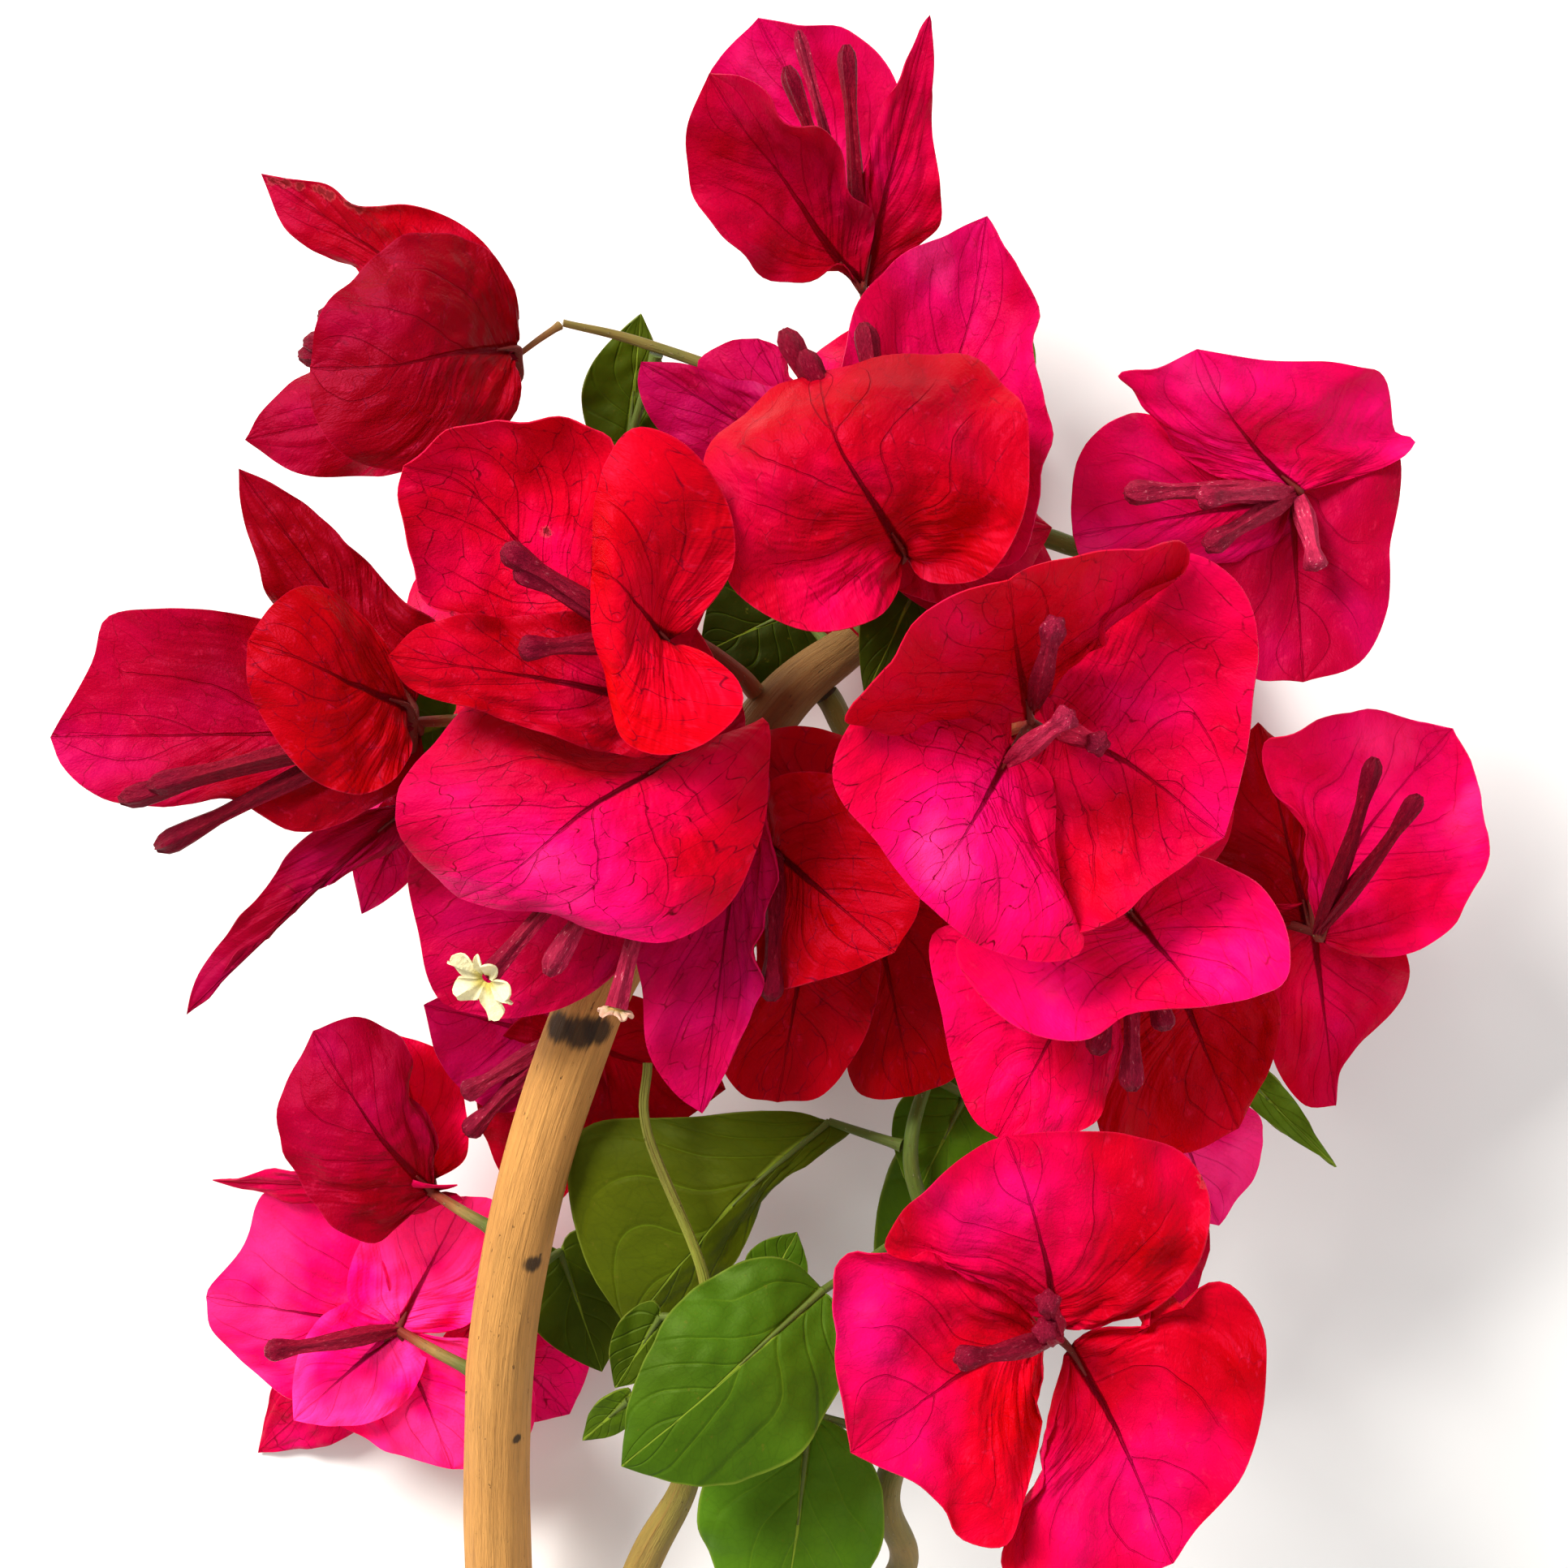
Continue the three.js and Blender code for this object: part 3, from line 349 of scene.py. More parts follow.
            (45.5, -25.5, 102), (40.5, -27.4, 104), (29.2, -24.2, 107)], right=[(34, 13, 99),
            (24, 14, 102), (12.5, 11.5, 105), (7.4, 1.1, 108), (14.2, -9.2, 109)], hue=(0.45, 0.55),
            light=1.05, net=1.3, folds=1.2, glow=[(24.2, -10.5, 8.1, 0.45, 0.1),
            (27.4, -2.4, 6.8, 0.3, 0.05), (31.1, 3.2, 6.8, 0.22, 0), (40.5, -22.2, 9.5, 0.11, 0.08),
            (13.6, 4.6, 8.1, -0.08, -0.04)]),
    ], flowers=[tube((41.75, 25.1, 120), foot=(38.5, 12, 98), tint=(0.02, 0.5)), tube((44.3, 10.8, 116),
        foot=(34.5, 3.4, 104), tint=(0.3, 0.8)), tube((49, 6, 112), foot=(42, 8.5, 100),
        tint=(0.02, 0.45))]),
    "lower_right": bloom_on("twig_right", (53, -18, 78), net=0.7, bracts=[
        blade((53.6, -20, 88), (65.5, -34.25, 96), left=[(56, -12, 88), (65.5, -11.5, 92),
            (74.2, -16.7, 95), (78, -25.5, 96), (76.7, -31, 96)], right=[(44, -20, 88),
            (26.7, -24.2, 90), (29.2, -31.7, 93), (36.7, -38, 95), (45.5, -39.2, 96),
            (54.2, -35.5, 96)], hue=(0.5, 0.6), light=1.12, folds=1.3,
            glow=[(41.7, -31.7, 8, 0.22, 0.35), (70.5, -30.5, 8.1, 0.34, 0),
            (62.6, -19.9, 8.1, 0.08, 0.12), (35.5, -33, 10.8, 0.04, 0)]),
        blade((47, -28, 78), (33, -54.5, 82), left=[(52, -36, 78), (50, -48, 80), (46.7, -53, 81)],
            right=[(34, -22, 80), (23, -23, 80), (24.2, -35.5, 80), (29.2, -51.7, 82)], hue=(0.55, 0.6),
            light=1.12),
        blade((59, -27, 76), (70, -53, 72), left=[(70, -28, 76), (76, -33, 76), (75.5, -41.7, 75),
            (72, -49, 73)], right=[(49, -34, 76), (47.5, -48, 74.5), (50.5, -57, 73), (61, -57, 72)],
            hue=(0.1, 0.1), light=0.75),
    ], flowers=[tube((48, -41.75, 86), tint=0.4), tube((53.6, -47.4, 86), tint=0.4),
        tube((58.9, -38, 86), tint=0.4)]),
    "right": bloom_on("twig_right", (82, -23, 50), stalk=(0.85, (0.1, 0.02)), net=0.35, bracts=[
        blade((82.5, -24, 50), (103, 8.5, 58), mid=[(88, -10, 47), (97, 2, 50)], left=[(81, -12, 50),
            (78, -1, 51), (74.5, 6.5, 54), (81.5, 9.4, 56), (92, 10.8, 57)], right=[(90, -26.5, 50),
            (98, -25.5, 51), (106.2, -17, 54), (108.4, -8, 56), (107.3, -1, 57)], hue=(0.55, 0.7),
            light=1.1, glow=[(95.2, 2.2, 10.8, 0.22, 0.24), (97.6, -17.6, 8.1, -0.08, 0.28),
            (104.2, -5.5, 8.1, 0.22, 0.08)]),
        blade((81, -22, 46), (73, 9.5, 42), left=[(69, -21, 44), (66, -9, 43), (67, 3, 42)],
            right=[(84, -8, 40), (79, 4, 41)], hue=(0, 0), light=0.42),
        blade((81, -18, 45), (85, -49.5, 40), left=[(91, -19, 45), (95.6, -26, 44), (95.6, -33, 43),
            (86, -43, 41)], right=[(72, -20, 45), (73, -33, 43), (76.2, -44.2, 41), (80.4, -49.5, 40)],
            hue=(0.45, 0.5), light=0.9, glow=[(80.1, -33.9, 5.4, 0.15, 0.4)]),
    ], flowers=[tube((98, -1.75, 62), girth=0.85), tube((91, 4.1, 62), girth=0.85)]),
    "bottom_right": bloom_on("third_stem", (42, -85, 84), net=0.4, bracts=[
        blade((42, -84, 86), (34.25, -54.25, 96), mid=[(40.5, -74, 92), (36.5, -60, 96)],
            left=[(38, -79.5, 88), (29, -75.5, 92), (15.5, -71.5, 94), (21, -63, 95),
            (30.5, -55.5, 96)], right=[(46, -83.5, 87), (52, -83, 90), (59.2, -79.2, 93),
            (64.2, -73, 95), (65.5, -64, 96), (62, -57.5, 96), (53, -54, 96), (42, -53.5, 96)],
            hue=(0.35, 0.45), light=0.92, folds=2.2, scars=[(64.4, -61.3, 1.1), (60, -84.6, 1.1)],
            glow=[(31.4, -66.6, 8.1, 0.38, 0.05), (53.6, -61.8, 10.8, 0, -0.04),
            (57.6, -73.4, 9.5, -0.22, -0.16), (40.5, -59.2, 8.1, 0.19, 0.08)]),
        blade((40, -85, 85), (10.25, -103, 94), mid=[(29, -90, 88), (18, -97.5, 92)],
            left=[(39.5, -89, 86), (38.5, -98, 88), (37.4, -108, 90), (34.2, -117.2, 92),
            (28.5, -116.7, 93), (25, -111, 94)], right=[(36, -79, 88), (27, -74.5, 91), (17, -72.5, 93),
            (8, -74.2, 94), (8, -85.5, 95), (9, -96, 95)], hue=(0.35, 0.4), light=1.0, folds=2.4,
            glow=[(11.9, -83.1, 10.8, 0.38, 0.03), (31.4, -86, 9.5, -0.08, 0.04),
            (36.1, -98.6, 9.5, -0.3, 0.04), (16.8, -96.8, 9.5, 0.3, 0)]),
        blade((44, -87, 85), (60, -120, 90), mid=[(50.5, -98, 88)], left=[(48, -83.5, 87),
            (58, -82.4, 90), (60.5, -79.2, 92), (68, -76.7, 93), (74.2, -84.2, 94), (74.2, -94.2, 94),
            (70.5, -106.7, 92), (63, -115.5, 91)], right=[(43, -91, 86), (40, -104, 87),
            (33.6, -120.7, 88), (40, -124.5, 89), (52, -123, 90)], hue=(0.35, 0.4), light=0.9,
            folds=2.4, glow=[(57.6, -89.9, 9.5, 0, 0.12), (47.9, -112.2, 10.8, 0.34, 0),
            (72.1, -88, 9.5, -0.26, -0.2), (59.2, -109.2, 9.5, 0.3, 0)]),
    ], flowers=[tube((40.5, -79.25, 104), tint=0.35), tube((40, -84, 100), tint=0.35),
        tube((26.75, -88.6, 104), tint=0.3)]),
    "low_back": bloom_on("main_stem", (-54, -63, 36), net=0.25, bracts=[
        blade((-54, -63, 36), (-72.5, -38, 40), mid=[(-62.5, -54, 43)], left=[(-57.5, -66.5, 37),
            (-62.6, -70.6, 38), (-70.7, -66, 40), (-76.4, -58.4, 41), (-77.5, -48.6, 41)],
            right=[(-54, -54, 38), (-57.5, -46, 40), (-60, -38.5, 40), (-65.5, -35.9, 40)],
            hue=(0.4, 0.6), light=0.43),
        blade((-54, -61, 33), (-60, -38.5, 32), left=[(-60, -55, 33), (-62, -46, 32.5)],
            right=[(-49, -57.4, 32), (-52, -42, 32)], hue=(0.45, 0.5), light=1.35),
        blade((-54, -63, 36), (-88, -61, 26), half=(5, 5), roll=40, plain=True, hue=(0.6, 0.6),
            light=0.8),
    ]),
    "low_front": bloom_on("main_stem", (-59.5, -84, 24), net=0.2, bracts=[
        blade((-59.5, -84, 24), (-49, -63.5, 28), left=[(-67, -79, 25), (-65, -70, 27), (-61, -66, 28),
            (-55.5, -63.5, 28)], right=[(-50, -84, 25), (-44, -77, 26), (-42, -69, 27), (-45, -64, 28)],
            hue=(0.85, 1), light=1.6),
        blade((-59.5, -84, 24), (-89, -79, 22), left=[(-66, -90, 24), (-74, -95, 23),
            (-79.5, -92.5, 23), (-88, -84, 22)], right=[(-62, -72, 25), (-70, -63, 26),
            (-79.5, -62.5, 25), (-83.6, -71.6, 23), (-88.6, -77.7, 22)], hue=(0.8, 1), light=1.02),
        blade((-59.5, -84, 24), (-75.5, -98, 26), half=(10, 10), point=-0.2, hue=(0.85, 0.95),
            light=1.6),
        blade((-59.5, -84, 24), (-51, -105.5, 20), left=[(-48, -86, 24), (-39, -92, 22),
            (-39, -100, 21), (-44, -105, 20)], right=[(-70, -89, 24), (-72, -96, 22), (-64, -101, 21),
            (-57.5, -104, 20)], hue=(0.8, 0.95), light=1.3),
    ], flowers=[tube((-80, -87.5, 36), tint=0.3)]),
    "low_under": bloom_on("main_stem", (-43, -82, 12), bracts=[
        blade((-62, -86, 12), (-81, -103, 0.9), half=(9, 9), hue=(0.6, 0.7), light=0.8),
        blade((-47, -83, 12), (-33, -97, 6), half=(14, 12), point=-0.4, plain=True, hue=(0.7, 0.9),
            light=0.9),
    ]),
    "stem_side": bloom_on("main_stem", (-34.5, -39, 42), net=0.3, bracts=[
        blade((-34.5, -39, 42), (-55.5, -34, 42), half=(14, 6), point=-0.3, hue=(0.7, 0.8), light=0.62),
        blade((-34.5, -39, 42), (-9, -47, 38), half=(10, 13), point=-0.3, hue=(0.1, 0.2), light=0.55),
        blade((-34.5, -39, 42), (-38, -67, 32), half=(9, 12), point=-0.2, hue=(0.3, 0.3), light=0.6),
    ], flowers=[tube((-49.5, -48, 46), tint=0.5), tube((-49, -54, 44), tint=0.4)]),
    "right_back": bloom_on("twig_right", (58, -45.5, 44), net=0.2, bracts=[
        blade((58, -45.5, 44), (67, -68, 40), left=[(72, -50, 42), (73.9, -54.2, 41),
            (72.6, -60.2, 40)], right=[(55, -52, 42), (57, -60, 41), (61, -66.5, 40)], hue=(0.85, 1),
            light=1.15),
        blade((58, -60.5, 36), (58, -87, 34), half=(8, 8), plain=True, hue=(0.4, 0.4), light=0.6),
    ]),
    "under_top": bloom_on("twig_top", (4, 44, 34), curve=20, neck=0.06, plain=True, bracts=[
        blade((4, 44, 34), (-24, 60, 14), half=(15, 16), hue=(0.3, 0.5), light=0.85),
        blade((4, 44, 34), (28, 70, 0.9), half=(16, 15), hue=(0.5, 0.7), light=0.9),
        blade((4, 44, 34), (14, 20, 12), half=(15, 15), hue=(0.2, 0.4), light=0.8),
    ]),
    "under_left": bloom_on("main_stem", (-42, 12, 40), curve=20, neck=0.06, plain=True, bracts=[
        blade((-42, 12, 40), (-55.5, 33.5, 14), half=(14, 15), hue=(0.4, 0.6), light=0.85),
        blade((-42, 12, 40), (-70, -6, 0.9), half=(16, 15), hue=(0.6, 0.8), light=0.95),
        blade((-42, 12, 40), (-18, -4, 12), half=(15, 15), hue=(0.2, 0.3), light=0.8),
    ]),
    "under_right": bloom_on("twig_right", (50, 4, 32), curve=20, neck=0.06, plain=True, bracts=[
        blade((50, 4, 32), (66, 28, 10), half=(15, 15), hue=(0.3, 0.6), light=0.85),
        blade((50, 4, 32), (64, -28, 0.9), half=(16, 15), hue=(0.6, 0.7), light=0.95),
        blade((50, 4, 32), (22, -8, 10), half=(15, 15), hue=(0.1, 0.4), light=0.8),
    ]),
}

# Leaves, as the bracts, with the limb that carries them, and at for where along it the stalk starts.
# hue runs from 0, olive, to 1, fresh green. light is, as for the bracts, partly their own tone and
# partly painted shade and painted light.
LEAVES = {
    "crown": blade((-24, 52, 54), (-22, 72.5, 58), carrier="twig_upper_left", half=(8, 5),
        hue=(0.3, 0.4), light=0.66),
    # gap lies in shade under the blooms, and its low light paints that shade
    "gap": blade((2, 27, 43), (-13, 20, 43), carrier="main_stem", half=(12, 11), hue=(0.1, 0.1),
        light=0.2),
    "behind": blade((23, 36, 69), (12.5, 13.5, 67), carrier="twig_upper_right", half=(5.5, 6.5),
        hue=(0.4, 0.3), light=0.42),
    "big": blade((7, -52, 50), (-24, -84, 46), carrier="third_stem", at=0.87, mid=[(-6, -63, 54),
        (-15, -73, 52)], left=[(10.5, -53, 50), (4, -58, 51), (-1.4, -61.75, 52), (-8.25, -74.25, 50),
        (-15, -80, 48)], right=[(2, -50.5, 50), (-13.25, -51.2, 51), (-30.75, -53, 51),
        (-33.5, -60.5, 50), (-31, -72, 48)], hue=(0.25, 0.2), light=0.95),
    "front": blade((6, -78, 70), (-25, -105, 74), carrier="third_stem", at=0.8, mid=[(-3, -86, 75),
        (-14, -96, 77)], left=[(8, -80, 71), (9.25, -84.25, 72), (9.25, -91.75, 73), (1.75, -103, 74),
        (-7, -107.4, 74), (-20.75, -106.5, 74)], right=[(2, -74, 70), (-4.5, -73, 71), (-14.5, -78, 73),
        (-22, -90.5, 74), (-24.5, -99, 74)], hue=(0.85, 0.9), light=0.8),
    "bottom": blade((4, -97, 56), (-1, -134, 50), carrier="third_stem", mid=[(2, -115, 57)],
        left=[(10, -100, 56), (14.9, -108, 55), (15, -116, 54), (9, -127, 52)], right=[(-6, -99, 56),
        (-12.6, -108, 55), (-13.25, -114.25, 54), (-9.5, -123, 52)], hue=(0.95, 1), light=1.15),
    "mid": blade((28, -48, 50), (20, -64, 50), carrier="third_stem", half=(9, 9), hue=(0.8, 0.8),
        light=1.05),
    "dark": blade((-34.5, -72, 30), (-28, -90.5, 28), carrier="main_stem", half=(9, 9), plain=True,
        hue=(0.3, 0.3), light=0.6),
    "small": blade((-19, -82, 58), (-26, -93, 56), carrier="second_stem", half=(5, 5), plain=True,
        hue=(0.5, 0.5), light=0.7),
    "curl": blade((-24, -95, 58), (-31, -101, 54), carrier="second_stem", half=(3, 3), plain=True,
        hue=(0.6, 0.6), light=0.9),
    "right": blade((67, -41, 64), (85, -59, 58), carrier="twig_right", half=(3.1, 2.7), point=0.5,
        plain=True, hue=(0.5, 0.5), light=1.5),
    "top": blade((-3, -78, 62), (2, -69, 62), carrier="second_stem", half=(5, 5), plain=True,
        hue=(0.8, 0.8), light=0.8),
    "under_crown": blade((24, 52, 46), (34, 78, 30), carrier="twig_top", half=(11, 11), curve=20,
        hue=(0.8, 0.8), light=0.85),
    "under_middle": blade((-4, -14, 38), (-30, -24, 22), carrier="main_stem", half=(12, 12), curve=20,
        hue=(0.7, 0.7), light=0.85),
    "under_low": blade((24, -60, 40), (30, -96, 22), carrier="third_stem", half=(13, 13), curve=20,
        hue=(0.7, 0.8), light=0.85),
}

# Smaller bracts and leaves on the stalks below the blooms: the bloom, how far along its stalk from the
# twig they start, their length in mm and their headings in degrees
INNER_BRACTS = [("crown", 0.62, 23, (10, 90, 160)), ("crown", 0.25, 24, (50, 125, 350)),
                ("centre_left", 0.6, 22, (90, 170, 250)), ("centre_left", 0.2, 24, (125, 210, 275)),
                ("centre_right", 0.66, 26, (0, 70, 290)), ("centre_right", 0.35, 27, (35, 250, 320)),
                ("lower_left", 0.5, 22, (100, 215, 330)), ("lower_right", 0.55, 22, (35, 160, 280)),
                ("middle", 0.4, 20, (10, 130, 250))]
INNER_LEAVES = [("crown", 0.42, 21, (70, 100)), ("centre_left", 0.4, 20, (160, 225)),
                ("centre_right", 0.15, 24, (20, 330)), ("lower_left", 0.25, 20, (150, 280)),
                ("lower_right", 0.3, 22, (95, 220)), ("bottom_right", 0.45, 22, (80,)),
                ("left", 0.5, 17, (200,)), ("upper_right", 0.5, 17, (200,))]
INNER_DROOP = 0.35
INNER_HALF = 0.42
INNER_LOOKS = {"curve": 30, "point": -0.2, "plain": True, "net": 0.5}

# A flower tube's radii from its foot to its head, as (share of the length, radius in mm)
BUD_PROFILE = [(0, 0.7), (0.1, 1.1), (0.28, 1.55), (0.46, 1.4), (0.62, 1.05), (0.74, 0.98),
               (0.86, 1.55), (0.93, 1.75), (0.98, 1.35), (1, 0.5)]
OPEN_PROFILE = [(0, 0.7), (0.1, 1.05), (0.26, 1.35), (0.45, 1.12), (0.65, 0.95), (0.85, 1.1),
                (1, 1.5)]
TUBE_BOW = 0.08
TUBE_SIDES = 20
TUBE_RINGS = 28
TUBE_RIBS = 0.26                 # how far the five ribs of a tube stand out
TUBE_TWIST = 0.03
TUBE_TINT = 0.08
STAR_LEAN = 0.85                 # how far an open flower follows its tube rather than facing up
STAR_MOUTH = 0.9                 # radius of the tube's opening in it
STAR_GRID = (14, 80)
STAR_UP = 0.5

LIGHTS = [    # name, place, aim, watts, size and colour
    ("key", (-0.85, 0.88, 1.12), (0, 0, 0.04), 46, 0.6, (1, 0.98, 0.94)),
    ("fill", (0.6, -0.2, 0.6), (0, 0, 0.04), 2.4, 0.9, (0.95, 0.97, 1)),
]
WORLD_COLOUR = (1, 0.99, 0.97, 1)
WORLD_STRENGTH = 0.56
FLOOR_SIZE = 4
FLOOR_PALE = (0.91, 0.905, 0.89)


class BranchSettings(bpy.types.PropertyGroup):
    """The sizes and colours that a user would change"""
    bract_thickness: bpy.props.FloatProperty(
        name="Bract thickness", description="Thickness of a papery bract", default=0.00024,
        unit="LENGTH")
    leaf_thickness: bpy.props.FloatProperty(
        name="Leaf thickness", description="Thickness of a leaf", default=0.0005, unit="LENGTH")
    puff: bpy.props.FloatProperty(
        name="Puff", description="Height of the tissue between two side veins, in mm", default=0.36)
    wave: bpy.props.FloatProperty(
        name="Edge wave", description="Height of the waves along a bract's edge, in mm", default=1.2)
    veins: bpy.props.IntProperty(
        name="Side veins", description="Side veins on each side of a midrib", default=5)
    star_thickness: bpy.props.FloatProperty(
        name="Star thickness", description="Thickness of an open flower's lobes", default=0.0003,
        unit="LENGTH")
    vein_colour: bpy.props.FloatVectorProperty(
        name="Vein colour", description="Colour of a bract's veins", default=(0.13, 0.001, 0.008),
        subtype="COLOR")
    leaf_colour: bpy.props.FloatVectorProperty(
        name="Leaf colour", description="Colour of a fresh leaf", default=(0.075, 0.18, 0.006),
        subtype="COLOR")
    bark_colour: bpy.props.FloatVectorProperty(
        name="Bark colour", description="Colour of the main stem", default=(0.72, 0.37, 0.11),
        subtype="COLOR")
    floor_colour: bpy.props.FloatVectorProperty(
        name="Floor colour", description="Colour of the floor", default=(0.88, 0.875, 0.86),
        subtype="COLOR")


def settings():
    return bpy.context.scene.branch_settings


def seen(places):
    """Places in the frame, in mm, from places as they look from above, which have a true height"""
    places = np.array(places, float)
    places[..., :2] *= (VIEW_DISTANCE - (places[..., 2:] - MIDDLE_LEVEL)) / VIEW_DISTANCE
    return places - ORIGIN


def shown_at(places):
    """Where places in the frame are seen from above, on the middle level, so the reverse of seen"""
    places = places + ORIGIN
    return places[..., :2] * VIEW_DISTANCE / (VIEW_DISTANCE - (places[..., 2:] - MIDDLE_LEVEL))


def unit(vectors):
    lengths = np.linalg.norm(vectors, axis=-1, keepdims=True)
    return vectors / np.maximum(lengths, 1e-9)


def with_ghosts(points):
    """Points with one more at each end, straight on"""
    points = np.asarray(points, float)
    return np.vstack([2 * points[0] - points[1], points, 2 * points[-1] - points[-2]])


def run_along(points):
    """How far along a line each of its points lies"""
    return np.concatenate([[0], np.cumsum(np.linalg.norm(np.diff(points, axis=0), axis=1))])


def limb_curve(points, shares):
    """The uniform Catmull-Rom curve of a limb, at shares of its count of points"""
    ghosted = with_ghosts(points)
    reach = np.clip(shares, 0, 1) * (len(points) - 1)
    first = np.minimum(reach.astype(int), len(points) - 2)
    t = (reach - first)[:, None]
    a, b, c, d = (ghosted[first + k] for k in range(4))
    square, cube = 2 * a - 5 * b + 4 * c - d, 3 * b - a - 3 * c + d
    return 0.5 * (2 * b + (c - a) * t + square * t**2 + cube * t**3)


def between(t, low, high, first, second):
    """From first, where t is low, to second, where it is high"""
    return ((high - t) * first + (t - low) * second) / (high - low)


def outline_curve(points, shares):
    """A centripetal Catmull-Rom curve through points, at shares of its length"""
    ghosted = with_ghosts(points)
    steps = np.sqrt(np.maximum(np.linalg.norm(np.diff(ghosted, axis=0), axis=1), 1e-6))
    knots = np.concatenate([[0], np.cumsum(steps)])
    fine = []
    for k in range(1, len(ghosted) - 2):
        t = np.linspace(knots[k], knots[k + 1], CURVE_STEPS, endpoint=False)[:, None]
        t0, t1, t2, t3 = knots[k - 1:k + 3]
        one = between(t, t0, t1, ghosted[k - 1], ghosted[k])
        two = between(t, t1, t2, ghosted[k], ghosted[k + 1])
        three = between(t, t2, t3, ghosted[k + 1], ghosted[k + 2])
        early, late = between(t, t0, t2, one, two), between(t, t1, t3, two, three)
        fine.append(between(t, t1, t2, early, late))
    fine = np.vstack(fine + [ghosted[-2:-1]])
    run = run_along(fine)
    return np.column_stack([np.interp(np.asarray(shares) * run[-1], run, fine[:, k]) for k in range(3)])


def formula_surface(shape):
    """The surface of a blade that is given by its half widths, as a function of u and v"""
    start = seen(shape["base"])
    along = seen(shape["tip"]) - start
    reach = np.linalg.norm(along)
    along = along / reach
    level = unit(np.array([0, 0, 1]) - along * along[2])
    left = np.cross(level, along)
    turn = math.radians(shape.get("roll", 0))
    face = level * math.cos(turn) + left * math.sin(turn)
    side = left * math.cos(turn) - level * math.sin(turn)
    arch = math.radians(shape.get("curve", 0))
    length = (reach * arch / 2) / math.sin(arch / 2) if arch else reach
    neck, point = shape.get("neck", NECK), shape.get("point", 0)

    def midrib(s):
        if not arch:
            return start + along * length * s
        slope, radius = arch / 2 - arch * s, length / arch
        return (start + along * radius * (math.sin(arch / 2) - math.sin(slope))
                + face * radius * (math.cos(slope) - math.cos(arch / 2)))

    def surface(u, v):
        breadth = math.sin(math.pi * (neck + (1 - neck) * u)) ** (1 + point * u) if u < 1 else 0
        s = u - HEART * (1 - (1 - abs(v) / LOBE_PLACE) ** 2) * (1 - u) ** LOBE_FADE
        return midrib(s) + side * v * breadth * shape["half"][0 if v >= 0 else 1]
    return surface


def blade_lines(shape, shares):
    """The midrib and the left and right edge of a bract or leaf, each at the same shares of its length"""
    base, tip = seen(shape["base"]), seen(shape["tip"])
    if "left" in shape:
        middle = [base, *(seen(place) for place in shape.get("mid", [])), tip]
        edges = [[base, *(seen(place) for place in shape[side]), tip] for side in ("left", "right")]
    else:
        surface = formula_surface(shape)
        middle = [surface(u, 0) for u in (0, 0.25, 0.5, 0.75)] + [tip]
        edges = [[base, *(surface(u, sign * v) for u, v in EDGE_PLACES), tip] for sign in (1, -1)]
    left, right = (outline_curve(edge, shares) for edge in edges)
    return outline_curve(middle, shares ** BASE_FAN), left, right


def ripple(rng, x, y, height, shortest, longest):
    """A gentle unevenness over x and y in mm, made of a few crossing waves"""
    total = 0
    for _ in range(5):
        heading, start = rng.uniform(0, math.tau), rng.uniform(0, math.tau)
        pace = math.tau / rng.uniform(shortest, longest)
        total = total + np.sin(pace * (x * math.cos(heading) + y * math.sin(heading)) + start)
    return height * total / 3


def vein_phase(rng, u, v, along_mm, across_mm, veins):
    """Whole numbers along the side veins, which leave the midrib by turns on its two sides, unevenly"""
    phase = (u - VEIN_RAKE * np.abs(v) ** VEIN_BEND) * veins + 0.5 * (v > 0)
    swing, turns = VEIN_SWING
    phase = phase + swing * np.sin(math.tau * (turns * u + rng.random())) * np.sign(v)
    return phase + ripple(rng, along_mm, across_mm, *VEIN_DRIFT)


